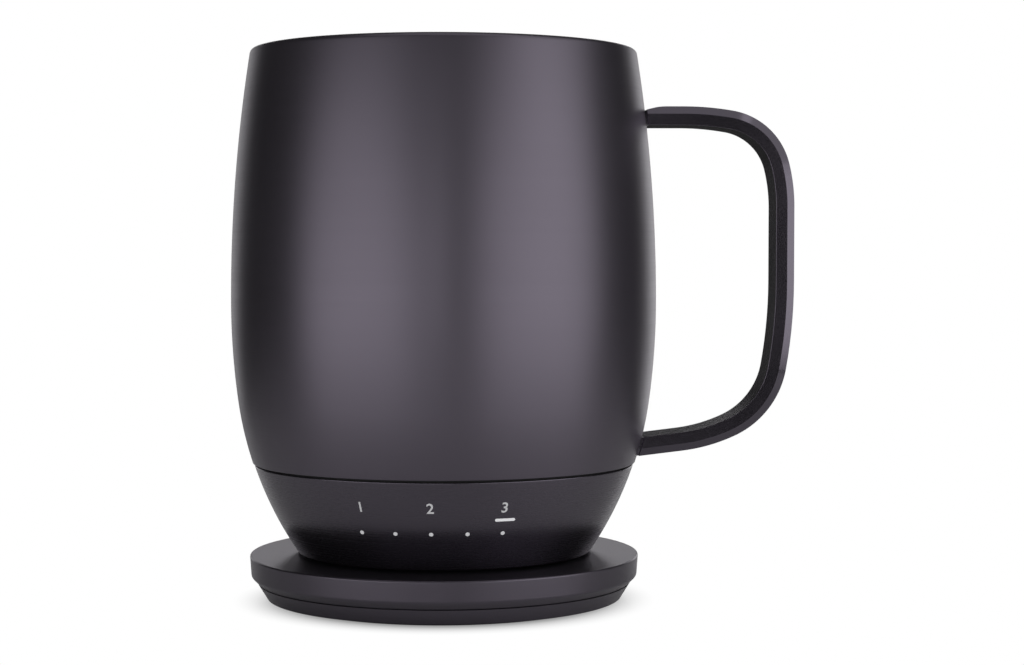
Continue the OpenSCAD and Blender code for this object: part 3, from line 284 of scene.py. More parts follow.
@dataclass(frozen=True)
class TurnedCoat(Finish):
    """Satin charcoal coat over fine turned lines."""

    color: Triple = (0.0080, 0.0074, 0.0086)
    spread: float = 0.12
    roughness: float = 0.40
    relief_gloss: float = 0.12
    cloud_gloss: float = 0.05
    ior: float = 1.8
    specular: float = 0.86
    tint: Triple = COOL
    stretch: float = 0.3
    stretch_turn: float = 0.25
    lines_per_mm: float = 3.2
    line_share: float = 0.7
    grain: Triple = (5200.0, 5200.0, 9000.0)
    cloud: Triple = (45.0, 45.0, 30.0)
    relief: float = 0.0012

    def sockets(self, sheet: Sheet) -> Sockets:
        """Turned lines with a fine grain, under a faint cloud.

        Args:
            sheet: Sheet of the material.

        Returns:
            Inputs of the shader.
        """
        lines = sheet.rings(self.lines_per_mm / MM)
        relief = lines.mixed(sheet.noise(self.grain), self.line_share)
        cloud = sheet.noise(self.cloud)
        return {
            "Base Color": sheet.shade(self.color, self.spread, cloud.mixed(relief, 0.5)),
            "Roughness": self.roughness + relief.swing(self.relief_gloss) + cloud.swing(self.cloud_gloss),
            "IOR": self.ior,
            "Specular IOR Level": self.specular,
            "Specular Tint": (*self.tint, 1.0),
            "Anisotropic": self.stretch,
            "Anisotropic Rotation": self.stretch_turn,
            "Normal": sheet.bump(relief, self.relief),
        }


@dataclass(frozen=True)
class MouldedPlastic(Finish):
    """Moulded plastic with a fine even grain."""

    color: Triple
    roughness: float
    grain_mm: float = 0.35
    relief: float = 0.003
    spread: float = 0.10
    specular: float = 0.5
    tint: Triple = WHITE
    ior: float = 1.5
    grain_gloss: float = 0.10
    cloud_gloss: float = 0.05
    cloud_share: float = 0.6
    cloud: Triple = (60.0, 60.0, 60.0)

    def sockets(self, sheet: Sheet) -> Sockets:
        """Even grain under a faint cloud.

        Args:
            sheet: Sheet of the material.

        Returns:
            Inputs of the shader.
        """
        cells = 1 / (self.grain_mm * MM)
        grain, cloud = sheet.noise((cells, cells, cells)), sheet.noise(self.cloud)
        return {
            "Base Color": sheet.shade(self.color, self.spread, cloud.mixed(grain, self.cloud_share)),
            "Roughness": self.roughness + grain.swing(self.grain_gloss) + cloud.swing(self.cloud_gloss),
            "IOR": self.ior,
            "Specular IOR Level": self.specular,
            "Specular Tint": (*self.tint, 1.0),
            "Normal": sheet.bump(grain, self.relief),
        }


@dataclass(frozen=True)
class RingBrushedSteel(Finish):
    """Bare steel, brushed in rings about the mug's axis."""

    color: Triple = (0.60, 0.60, 0.61)
    spread: float = 0.10
    roughness: float = 0.30
    line_gloss: float = 0.2
    lines_per_mm: float = 5.0
    line_share: float = 0.7
    cloud: Triple = (40.0, 40.0, 40.0)
    relief: float = 0.002

    def sockets(self, sheet: Sheet) -> Sockets:
        """Brushed rings under a faint cloud.

        Args:
            sheet: Sheet of the material.

        Returns:
            Inputs of the shader.
        """
        lines = sheet.rings(self.lines_per_mm / MM)
        tone = lines.mixed(sheet.noise(self.cloud), self.line_share)
        return {
            "Base Color": sheet.shade(self.color, self.spread, tone),
            "Metallic": 1.0,
            "Roughness": self.roughness + lines.swing(self.line_gloss),
            "Normal": sheet.bump(lines, self.relief),
        }


@dataclass(frozen=True)
class PlainMetal(Finish):
    """Small metal parts with faint rolling marks and handling stains."""

    color: Triple
    roughness: float = 0.28
    spread: float = 0.14
    mark_gloss: float = 0.16
    stain_gloss: float = 0.12
    marks: Triple = (900.0, 9000.0, 9000.0)
    stain: Triple = (220.0, 220.0, 220.0)
    relief: float = 0.002

    def sockets(self, sheet: Sheet) -> Sockets:
        """Marks along X and stains.

        Args:
            sheet: Sheet of the material.

        Returns:
            Inputs of the shader.
        """
        marks, stain = sheet.noise(self.marks), sheet.noise(self.stain)
        return {
            "Base Color": sheet.shade(self.color, self.spread, stain),
            "Metallic": 1.0,
            "Roughness": self.roughness + marks.swing(self.mark_gloss) + stain.swing(self.stain_gloss),
            "Normal": sheet.bump(marks, self.relief),
        }


@dataclass(frozen=True)
class CircuitBoard(Finish):
    """Green solder mask with lighter tracks under it."""

    mask: Triple = (0.02, 0.13, 0.06)
    track: Triple = (0.04, 0.22, 0.10)
    track_pitch: float = 1.6
    track_edge: Point = (0.08, 0.04)
    wander: float = 0.8
    roughness: float = 0.38
    track_gloss: float = 0.08
    relief: float = 0.02

    def sockets(self, sheet: Sheet) -> Sockets:
        """Tracks along the borders of cells.

        Args:
            sheet: Sheet of the material.

        Returns:
            Inputs of the shader.
        """
        cells = 1 / (self.track_pitch * MM)
        sockets = {"Vector": sheet.stretched((cells, cells, cells)), "Scale": 1.0, "Randomness": self.wander}
        border = sheet.field("ShaderNodeTexVoronoi", {"feature": "DISTANCE_TO_EDGE"}, sockets, "Distance")
        tracks = 1 - border.above(*self.track_edge)
        return {
            "Base Color": sheet.between(self.mask, self.track, tracks),
            "Roughness": self.roughness - tracks * self.track_gloss,
            "Normal": sheet.bump(tracks, self.relief),
        }


@dataclass(frozen=True)
class LightGuide(Finish):
    """Milky plastic in front of a light source."""

    color: Triple
    glow: float
    spread: float = 0.06
    roughness: float = 0.35
    cloud_gloss: float = 0.1
    cloud: Triple = (1500.0, 1500.0, 1500.0)

    def sockets(self, sheet: Sheet) -> Sockets:
        """Milky cloud that glows.

        Args:
            sheet: Sheet of the material.

        Returns:
            Inputs of the shader.
        """
        cloud = sheet.noise(self.cloud)
        color = sheet.shade(self.color, self.spread, cloud)
        return {
            "Base Color": color,
            "Roughness": self.roughness + cloud.swing(self.cloud_gloss),
            "Emission Color": color,
            "Emission Strength": self.glow,
        }


FINISHES: dict[str, Finish] = {finish.name: finish for finish in (
    TurnedCoat("shell_coat"),
    TurnedCoat("base_coat", color=(0.0040, 0.0038, 0.0042), roughness=0.27, specular=0.78, relief=0.0007),
    MouldedPlastic("handle_black", (0.0040, 0.0038, 0.0043), 0.16, grain_mm=0.22, relief=0.0006,
                   specular=0.77, tint=COOL, ior=1.8),
    MouldedPlastic("coaster_black", (0.0040, 0.0040, 0.0042), 0.34, grain_mm=0.25, relief=0.0012,
                   specular=0.8, tint=COOL, ior=1.8),
    MouldedPlastic("cover_black", (0.020, 0.020, 0.021), 0.5, grain_mm=0.5, relief=0.01),
    RingBrushedSteel("liner_steel"),
    PlainMetal("hardware_steel", (0.55, 0.55, 0.56)),
    PlainMetal("aluminium_plate", (0.70, 0.70, 0.71), 0.35),
    MouldedPlastic("heater_amber", (0.42, 0.20, 0.06), 0.25, grain_mm=1.2, relief=0.01),
    MouldedPlastic("mica", (0.55, 0.48, 0.36), 0.6, grain_mm=0.8, relief=0.02, spread=0.2),
    MouldedPlastic("rubber_black", (0.012, 0.012, 0.012), 0.75, grain_mm=0.3, relief=0.01, spread=0.2,
                   specular=0.3),
    PlainMetal("contact_metal", (0.72, 0.52, 0.25), 0.22),
    CircuitBoard("board_green"),
    MouldedPlastic("chip_black", (0.025, 0.025, 0.027), 0.55, grain_mm=0.2, relief=0.01),
    MouldedPlastic("cell_sleeve", (0.05, 0.14, 0.30), 0.22, grain_mm=1.5, relief=0.004),
    LightGuide("lens_white", (0.66, 0.66, 0.68), glow=0.22),
    LightGuide("lens_lit", (0.74, 0.74, 0.76), glow=0.30),
    MouldedPlastic("lead_red", (0.35, 0.03, 0.03), 0.45),
    MouldedPlastic("lead_yellow", (0.50, 0.36, 0.05), 0.45),
    MouldedPlastic("ink_white", (0.68, 0.68, 0.70), 0.55, grain_mm=0.1, relief=0.001, spread=0.05),
)}


@cache
def finish_of(slot: str) -> bpy.types.Material:
    """Material of a finish, built the first time it is asked for."""
    return FINISHES[slot].make()


# Geometry trees

CLOSE_GAP = 1e-6


class PieceTree(NodeTree):
    """Geometry Nodes that make a piece from a row of points, close it and dress it."""

    NAME = ""
    SIZES: Mapping[str, str] = {}

    def __init__(self) -> None:
        """Builds the tree with its named inputs."""
        super().__init__(bpy.data.node_groups.new(self.NAME, "GeometryNodeTree"))
        new_socket = self.tree.interface.new_socket
        kinds = {"Geometry": "NodeSocketGeometry", **self.SIZES, "Material": "NodeSocketMaterial"}
        self.inputs = {
            name: new_socket(name, in_out="INPUT", socket_type=kind).identifier
            for name, kind in kinds.items()
        }
        new_socket("Geometry", in_out="OUTPUT", socket_type="NodeSocketGeometry")
        sockets = {"Geometry": self._shape(), "Distance": CLOSE_GAP}
        closed = self.field("GeometryNodeMergeByDistance", None, sockets)
        real = self.field("GeometryNodeRealizeInstances", None, {"Geometry": closed})
        sockets = {"Geometry": real, "Material": self._given("Material")}
        dressed = self.field("GeometryNodeSetMaterial", None, sockets)
        self.node("NodeGroupOutput", None, {"Geometry": dressed})

    def _shape(self) -> Field:
        """Geometry of the piece before it is closed."""
        raise NotImplementedError

    def _given(self, name: str) -> Field:
        """One of the tree's inputs."""
        return self.field("NodeGroupInput", output=name)

    def _position(self) -> Field:
        """Place of each point."""
        return self.field("GeometryNodeInputPosition")

    def _count(self, row: Field) -> Field:
        """Number of points in a row."""
        return self.field("GeometryNodeAttributeDomainSize", None, {"Geometry": row}, "Point Count")

    def _share(self, axis: str) -> Field:
        """How far a grid point lies along one axis of the grid, from 0 to 1."""
        return self._position().axis(axis) + 0.5

    def _index(self, axis: str, count: Field) -> Field:
        """Number of a grid point along one axis of the grid."""
        return (self._share(axis) * (count - 1)).rounded()

    def _sample(self, row: Field, value: Field, index: Field) -> Field:
        """Vector that a value has at one point of a row."""
        sockets = {"Geometry": row, "Value": value, "Index": index}
        return self.field("GeometryNodeSampleIndex", {"data_type": "FLOAT_VECTOR"}, sockets)

    def _skin(self, columns: Field, rows: Field, place: Field) -> Field:
        """Grid whose points are moved to their places.

        Args:
            columns: Number of points along the grid's X.
            rows: Number of points along the grid's Y.
            place: Place of each point.

        Returns:
            The moved grid.
        """
        sockets = {"Size X": 1.0, "Size Y": 1.0, "Vertices X": columns, "Vertices Y": rows}
        grid = self.field("GeometryNodeMeshGrid", None, sockets, "Mesh")
        return self.field("GeometryNodeSetPosition", None, {"Geometry": grid, "Position": place})

    def _run(
        self, name: str, row: Sequence[Vector], slot: str, sizes: Mapping[str, object],
        marks: Mapping[str, Sequence[Vector]] | None = None,
    ) -> bpy.types.Object:
        """Runs the tree on a row of points.

        Args:
            name: Name of the piece.
            row: Points of the row in metres.
            slot: Finish of the piece.
            sizes: Values of the tree's other inputs.
            marks: Vectors that the row's points carry, by name.

        Returns:
            The piece as a plain mesh.
        """
        source = row_object(f"{name}.row", row)
        for key, vectors in (marks or {}).items():
            mark = source.data.attributes.new(key, "FLOAT_VECTOR", "POINT")
            mark.data.foreach_set("vector", [number for vector in vectors for number in vector])
        modifier = source.modifiers.new(self.NAME, "NODES")
        modifier.node_group = self.tree
        for key, value in {**sizes, "Material": finish_of(slot)}.items():
            modifier[self.inputs[key]] = value
        return plain_copy(name, source, finish_of(slot))


class RevolveTree(PieceTree):
    """Turns a row of points into a body about the Z axis."""

    NAME = "revolve_row"
    SIZES = {"Segments": "NodeSocketInt"}

    def _shape(self) -> Field:
        """Lays the grid's rows on the points and turns its columns about the axis.

        Returns:
            The turned grid.
        """
        row = self._given("Geometry")
        rows = self._count(row)
        point = self._sample(row, self._position(), self._index("Y", rows))
        sockets = {"Vector": point, "Angle": self._share("X") * math.tau}
        turned = self.field("ShaderNodeVectorRotate", {"rotation_type": "Z_AXIS"}, sockets)
        return self._skin(self._given("Segments") + 1, rows, turned)

    def build(self, name: str, outline: Sequence[Point], slot: str, segments: int = 256) -> bpy.types.Object:
        """Revolves a closed outline.

        Args:
            name: Name of the piece.
            outline: Radius and height of the outline's points, without repeating the first.
            slot: Finish of the piece.
            segments: Steps around the axis.

        Returns:
            The piece as a plain mesh.
        """
        row = [Vector((r * MM, 0.0, z * MM)) for r, z in [*outline, outline[0]]]
        return self._run(name, row, slot, {"Segments": segments})


@dataclass(frozen=True)
class Station:
    """Place on a path that a strap's section passes through.

    Attributes:
        place: Point in the XZ plane.
        outward: Direction of the section's outer side in that plane.
        limit: Largest reach of the section to its outer side, beyond any strap unless it is set.
        shrink: Share of its thickness and of its width that the section keeps.
    """

    place: Point
    outward: Point
    limit: float = 1000.0
    shrink: Point = (1.0, 1.0)


class SweepTree(PieceTree):
    """Carries a section along a path in the XZ plane."""

    NAME = "sweep_section"
    SIZES = {"Section": "NodeSocketObject"}

    def _mark(self, name: str) -> Field:
        """Vector that the path's points carry."""
        return self.field("GeometryNodeInputNamedAttribute", {"data_type": "FLOAT_VECTOR"}, {"Name": name})

    def _shape(self) -> Field:
        """Lays the grid's columns on the path's stations and its rows on the section's points.

        Returns:
            The swept grid.
        """
        path = self._given("Geometry")
        section = self.field("GeometryNodeObjectInfo", None, {"Object": self._given("Section")}, "Geometry")
        columns, rows = self._count(path), self._count(section)
        station, corner = self._index("X", columns), self._index("Y", rows)
        place = self._sample(path, self._position(), station)
        outward = self._sample(path, self._mark("outward"), station)
        trim = self._sample(path, self._mark("trim"), station)
        point = self._sample(section, self._position(), corner)
        reach = point.axis("X").at_most(trim.axis("X"))
        lost = point.axis("Y").sign() * (point.axis("X") - reach)
        across = (point.axis("Y") + lost) * trim.axis("Z")
        side = self.field("ShaderNodeCombineXYZ", None, {"Y": across})
        out = outward.vector("SCALE", {"Scale": reach * trim.axis("Y")})
        return self._skin(columns, rows, place.vector("ADD", {1: out}).vector("ADD", {1: side}))

    def build(
        self, name: str, stations: Sequence[Station], section: Sequence[Point], slot: str
    ) -> bpy.types.Object:
        """Sweeps a closed section and closes its ends.

        Args:
            name: Name of the piece.
            stations: Places along the path.
            section: Outward and sideways distances of the section's points, without repeating the first.
            slot: Finish of the piece.

        Returns:
            The piece as a plain mesh.
        """
        first, last = (replace(station, shrink=(0.0, 0.0)) for station in (stations[0], stations[-1]))
        closed = [first, *stations, last]
        corners = [Vector((u * MM, v * MM, 0.0)) for u, v in [*section, section[0]]]
        outline = row_object(f"{name}.section", corners)
        marks = {
            "outward": [Vector((s.outward[0], 0.0, s.outward[1])) for s in closed],
            "trim": [Vector((s.limit * MM, *s.shrink)) for s in closed],
        }
        row = [Vector((s.place[0] * MM, 0.0, s.place[1] * MM)) for s in closed]
        piece = self._run(name, row, slot, {"Section": outline}, marks)
        discard(outline)
        return piece


@dataclass(frozen=True)
class Coil:
    """Coil spring between a fixed seat and a piece that presses it.

    Attributes:
        node: Frame node that it stands for.
        body: Body that its seat is on.
        joint: Joint that presses it.
        seat: Place of its fixed end in metres, with Z along the spring.
        radius: Radius of the wire's path.
        wire: Radius of the wire.
        turns: Number of turns.
        length: Length at rest.
        travel: How far it is pressed.
    """

    node: str
    body: Body
    joint: str
    seat: Matrix
    radius: float = 0.75
    wire: float = 0.15
    turns: float = 4.0
    length: float = 3.81
    travel: float = 0.8

    @property
    def keep(self) -> float:
        """Share of its length that it keeps when pressed."""
        return 1 - self.travel / self.length


class CoilTree(PieceTree):
    """Winds a wire into a coil about the Z axis, over a row that marks the axis."""

    NAME = "wind_coil"
    SIZES = {name: "NodeSocketFloat" for name in ("Turns", "Radius", "Length", "Wire")}
    STEPS_PER_TURN = 24
    WIRE_SIDES = 10

    def _shape(self) -> Field:
        """Carries round wire along a spiral and closes its ends.

        Returns:
            The wire.
        """
        radius, wire = self._given("Radius"), self._given("Wire")
        path = self.field("GeometryNodeCurveSpiral", None, {
            "Resolution": self.STEPS_PER_TURN, "Rotations": self._given("Turns"),
            "Start Radius": radius, "End Radius": radius, "Height": self._given("Length") - wire * 2.0,
        })
        sockets = {"Resolution": self.WIRE_SIDES, "Radius": wire}
        round_wire = self.field("GeometryNodeCurvePrimitiveCircle", None, sockets)
        sockets = {"Curve": path, "Profile Curve": round_wire, "Fill Caps": True}
        return self.field("GeometryNodeCurveToMesh", None, sockets)

    def build(self, name: str, coil: Coil, slot: str) -> bpy.types.Object:
        """Winds one spring and sets it on its seat.

        Args:
            name: Name of the piece.
            coil: Sizes and place of the spring.
            slot: Finish of the piece.

        Returns:
            The piece as a plain mesh.
        """
        lengths = {"Radius": coil.radius, "Length": coil.length, "Wire": coil.wire}
        sizes = {"Turns": coil.turns, **{key: value * MM for key, value in lengths.items()}}
        axis = [Vector((0, 0, 0)), Vector((0, 0, coil.length * MM))]
        piece = self._run(name, axis, slot, sizes)
        piece.data.transform(coil.seat @ Matrix.Translation((0, 0, coil.wire * MM)))
        return piece


# Mesh tools

MERGE_GAP = 1e-7
SLIVER = 1e-8
SHARP = 30.0


def new_object(name: str, data: bpy.types.ID) -> bpy.types.Object:
    """Object with some data, linked to the scene.

    Args:
        name: Name of the object.
        data: Its mesh, curve, lamp or camera.

    Returns:
        The object.
    """
    item = bpy.data.objects.new(name, data)
    bpy.context.scene.collection.objects.link(item)
    return item


def row_object(name: str, row: Sequence[Vector]) -> bpy.types.Object:
    """Object with a row of joined points.

    Args:
        name: Name of the object.
        row: Its points in metres.

    Returns:
        The object, linked to the scene.
    """
    mesh = bpy.data.meshes.new(name)
    mesh.from_pydata(row, [(i, i + 1) for i in range(len(row) - 1)], [])
    return new_object(name, mesh)


def evaluated_mesh(item: bpy.types.Object) -> bpy.types.Mesh:
    """Mesh of an object with its modifiers applied."""
    graph = bpy.context.evaluated_depsgraph_get()
    return bpy.data.meshes.new_from_object(item.evaluated_get(graph), depsgraph=graph)


def discard(item: bpy.types.Object) -> None:
    """Removes an object, with its mesh where it has one.

    Args:
        item: The object.
    """
    data = item.data
    bpy.data.objects.remove(item)
    if isinstance(data, bpy.types.Mesh):
        bpy.data.meshes.remove(data)


def plain_copy(name: str, source: bpy.types.Object, material: bpy.types.Material) -> bpy.types.Object:
    """Turns an object with modifiers into a plain mesh and removes it.

    Args:
        name: Name of the new object.
        source: Object to evaluate.
        material: Finish of the new object.

    Returns:
        The plain object, linked to the scene.
    """
    mesh = evaluated_mesh(source)
    discard(source)
    mesh.name = name
    mesh.materials.clear()
    mesh.materials.append(material)
    return new_object(name, mesh)


def smooth(piece: bpy.types.Object, sharp_degrees: float) -> None:
    """Closes a piece and shades it smoothly between its sharp edges.

    Args:
        piece: The piece.
        sharp_degrees: Edges that turn by more stay sharp.
    """
    work = bmesh.new()
    work.from_mesh(piece.data)
    bmesh.ops.remove_doubles(work, verts=work.verts, dist=MERGE_GAP)
    bmesh.ops.dissolve_degenerate(work, edges=work.edges, dist=SLIVER)
    bmesh.ops.recalc_face_normals(work, faces=work.faces)
    work.to_mesh(piece.data)
    work.free()
    piece.data.shade_smooth()
    piece.data.set_sharp_from_angle(angle=math.radians(sharp_degrees))
    modifier = piece.modifiers.new("flat_faces_first", "WEIGHTED_NORMAL")
    modifier.keep_sharp = True
    old = piece.data
    piece.data = evaluated_mesh(piece)
    piece.modifiers.clear()
    bpy.data.meshes.remove(old)
    piece.data.name = piece.name


def add_piece(piece: bpy.types.Object, body: Body, slot: str, *nodes: str, sharp: float = SHARP) -> None:
    """Smooths a piece, puts it on its body and hides the frame nodes that it stands for.

    Args:
        piece: The piece.
        body: Body that it rides on.
        slot: Material slot of the record; not used.
        *nodes: Frame nodes that it replaces.
        sharp: Edges that turn by more degrees stay sharp.
    """
    smooth(piece, sharp)
    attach(piece, body.value)
    if nodes:
        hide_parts(*nodes)
    LOG.info("%s: %d faces, rides on %s", piece.name, len(piece.data.polygons), body.value)


def arc(centre: Point, radius: float, start: float, end: float, steps: int) -> list[Point]:
    """Points along an arc, both ends included.

    Args:
        centre: Centre of the arc.
        radius: Its radius.
        start: Angle of the first point in degrees.
        end: Angle of the last point in degrees.
        steps: Number of chords.

    Returns:
        The points.
    """
    angles = [math.radians(start + (end - start) * k / steps) for k in range(steps + 1)]
    return [(centre[0] + radius * math.cos(a), centre[1] + radius * math.sin(a)) for a in angles]


def circle(radius: float, points: int) -> list[Point]:
    """Outline of a circle about the origin."""
    return arc((0, 0), radius, 0, 360 - 360 / points, points - 1)


def stadium(length: float, width: float, steps: int = 12) -> list[Point]:
    """Outline of a bar with round ends, long along the first axis."""
    half = (length - width) / 2
    return arc((half, 0), width / 2, -90, 90, steps) + arc((-half, 0), width / 2, 90, 270, steps)


@dataclass(frozen=True)
class Opening:
    """Straight hole to cut.

    Attributes:
        outline: Points of its section.
        place: Where the section's plane lies, in metres.
        low: Lower end along the plane's normal.
        high: Upper end along the plane's normal.
    """

    outline: Sequence[Point]
    place: Matrix
    low: float
    high: float

    def fill(self, work: bmesh.types.BMesh) -> None:
        """Adds the hole's shape to a mesh as a closed prism.

        Args:
            work: Mesh to add to.
        """
        bottom, top = (
            [work.verts.new(self.place @ Vector((x * MM, y * MM, z * MM))) for x, y in self.outline]
            for z in (self.low, self.high)
        )
        work.faces.new(bottom[::-1])
        work.faces.new(top)
        count = len(self.outline)
        for k in range(count):
            n = (k + 1) % count
            work.faces.new((bottom[k], bottom[n], top[n], top[k]))


def cut_out(piece: bpy.types.Object, openings: Sequence[Opening]) -> bpy.types.Object:
    """Cuts openings into a piece.

    Args:
        piece: The piece to cut.
        openings: What to cut.

    Returns:
        The cut piece.
    """
    work = bmesh.new()
    for opening in openings:
        opening.fill(work)
    bmesh.ops.recalc_face_normals(work, faces=work.faces)
    mesh = bpy.data.meshes.new("cutter")
    work.to_mesh(mesh)
    work.free()
    cutter = new_object("cutter", mesh)
    modifier = piece.modifiers.new("cut", "BOOLEAN")
    modifier.operation = "DIFFERENCE"
    modifier.solver = "EXACT"
    modifier.object = cutter
    name = piece.name
    piece.name = f"{name}.whole"
    result = plain_copy(name, piece, piece.active_material)
    discard(cutter)
    return result


# The object


@dataclass(frozen=True)
class BarrelLine:
    """Outer line of the barrel as three arcs that run on smoothly."""

    widest_r: float = 47.4
    widest_z: float = 56.2
    rim_z: float = 112.2
    upper_arc: float = 350.0
    middle_arc: float = 160.0
    lower_arc: float = 79.0
    break_z: float = 34.0

    def _arc(self, z: float, inset: float) -> Triple:
        """The arc at a height of the line.

        Args:
            z: The height.
            inset: How far the line is moved inwards.

        Returns:
            Radius and height of the arc's centre, and the arc's own radius.
        """
        turn = math.asin((self.widest_z - self.break_z) / self.middle_arc)
        if z >= self.widest_z:
            return self.widest_r - self.upper_arc, self.widest_z, self.upper_arc - inset
        if z >= self.break_z + inset * math.sin(turn):
            return self.widest_r - self.middle_arc, self.widest_z, self.middle_arc - inset
        step = self.middle_arc - self.lower_arc
        centre_r = self.widest_r - self.middle_arc + step * math.cos(turn)
        return centre_r, self.widest_z - step * math.sin(turn), self.lower_arc - inset

    def radius(self, z: float, inset: float = 0.0) -> float:
        """Radius of the line moved inwards by an inset, at a height."""
        centre_r, centre_z, arc_r = self._arc(z, inset)
        return centre_r + math.sqrt(arc_r**2 - (z - centre_z) ** 2)

    def tilt(self, z: float, inset: float = 0.0) -> float:
        """Angle of the outward normal above the level, in degrees."""
        _, centre_z, arc_r = self._arc(z, inset)
        return math.degrees(math.asin((z - centre_z) / arc_r))

    def run(self, low: float, high: float, inset: float, steps: int) -> list[Point]:
        """Points of the inset line from one height to another."""
        heights = [low + (high - low) * k / steps for k in range(steps + 1)]
        return [(self.radius(z, inset), z) for z in heights]

    def low_corner(self, low: float, inset: float, r: float, steps: int = 8) -> list[Point]:
        """Rounded lower corner, from its flat underside to the line."""
        centre = (self.radius(low + r, inset + r), low + r)
        return arc(centre, r, -90, self.tilt(low + r, inset + r), steps)

    def top_corner(self, top: float, inset: float, r: float, steps: int = 8) -> list[Point]:
        """Rounded upper corner, from the line to its flat top."""
        centre = (self.radius(top - r, inset + r), top - r)
        return arc(centre, r, self.tilt(top - r, inset + r), 90, steps)


LINE = BarrelLine()
COASTER_H = 10.4


def lifted(outline: Sequence[Point]) -> list[Point]:
    """Outline moved up by the coaster's height."""
    return [(r, z + COASTER_H) for r, z in outline]


def on_band(azimuth: float, z: float, inset: float) -> Matrix:
    """Plane that touches the barrel's line.

    Args:
        azimuth: Direction from the axis in degrees.
        z: Height above the coaster.
        inset: Depth of the line behind the barrel's face.

    Returns:
        Matrix with X along the band, Y up the band and Z outwards.
    """
    a, t = math.radians(azimuth), math.radians(LINE.tilt(z, inset))
    out = Vector((math.cos(a) * math.cos(t), math.sin(a) * math.cos(t), math.sin(t)))
    side = Vector((-math.sin(a), math.cos(a), 0.0))
    up = out.cross(side)
    r = LINE.radius(z, inset) * MM
    spot = Vector((r * math.cos(a), r * math.sin(a), (z + COASTER_H) * MM))
    return Matrix.Translation(spot) @ Matrix((side, up, out)).transposed().to_4x4()


@dataclass
class Barrel:
    """Outer shell with its lip, and the steel cup inside it."""

    revolve: RevolveTree
    shell_z: float = 20.5
    wall: float = 0.8
    hem_w: float = 2.2
    hem_h: float = 1.4
    hem_round: float = 0.3
    lip_w: float = 3.4
    lip_h: float = 2.4
    lip_round: float = 1.25
    mouth_round: float = 0.6
    weld_gap: float = 0.03
    cup_inset: float = 4.8
    cup_floor: float = 34.35
    floor_round: float = 9.0
    floor_rings: int = 12
    cup_segments: int = 192

    @property
    def mouth_r(self) -> float:
        """Inner radius of the mouth."""
        return LINE.radius(LINE.rim_z) - self.lip_w

    def shell_outline(self) -> list[Point]:
        """Closed outline of the shell's wall.

        Returns:
            Radius and height of its points.
        """
        lip_r = self.mouth_r + self.wall + self.weld_gap
        hem_r = LINE.radius(self.shell_z) - self.hem_w
        low = LINE.low_corner(self.shell_z, 0, self.hem_round)
        top = LINE.top_corner(LINE.rim_z, 0, self.lip_round)
        round_r = self.mouth_round
        mouth = arc((lip_r + round_r, LINE.rim_z - round_r), round_r, 90, 180, steps=6)
        under, hem_top = LINE.rim_z - self.lip_h, self.shell_z + self.hem_h
        face = LINE.run(low[-1][1], top[0][1], inset=0, steps=96)
        back = LINE.run(under, hem_top, self.wall, steps=24)
        return [
            (hem_r, self.shell_z), *low, *face[1:-1], *top, *mouth,
            (lip_r, under), *back, (hem_r, hem_top),
        ]

    def _cup_side(self, outset: float) -> list[Point]:
        """One face of the cup, from the axis along the floor and up to the mouth.

        Args:
            outset: How far the face lies outside the cup's inner face.

        Returns:
            Radius and height of its points.
        """
        inset, floor, neck_r = self.cup_inset - outset, self.cup_floor - outset, self.mouth_r + outset
        corner = LINE.low_corner(floor, inset, self.floor_round + outset, steps=14)
        across = neck_r - LINE.widest_r + LINE.upper_arc
        neck_z = LINE.widest_z + math.sqrt((LINE.upper_arc - inset) ** 2 - across**2)
        floor_run = [(corner[0][0] * k / self.floor_rings, floor) for k in range(self.floor_rings)]
        side = LINE.run(corner[-1][1], neck_z, inset, steps=48)
        return [*floor_run, *corner, *side[1:], (neck_r, LINE.rim_z - self.mouth_round)]

    def cup_outline(self) -> list[Point]:
        """Closed outline of the cup's wall."""
        return self._cup_side(self.wall) + self._cup_side(0.0)[::-1]

    def build(self) -> None:
        """Makes both pieces."""
        shell = self.revolve.build("barrel_shell", lifted(self.shell_outline()), "shell_coat")
        add_piece(shell, Body.MUG, "shell_coat", "mug_shell")
        cup = self.revolve.build("steel_cup", lifted(self.cup_outline()), "liner_steel", self.cup_segments)
        add_piece(cup, Body.MUG, "liner_steel", "mug_liner")


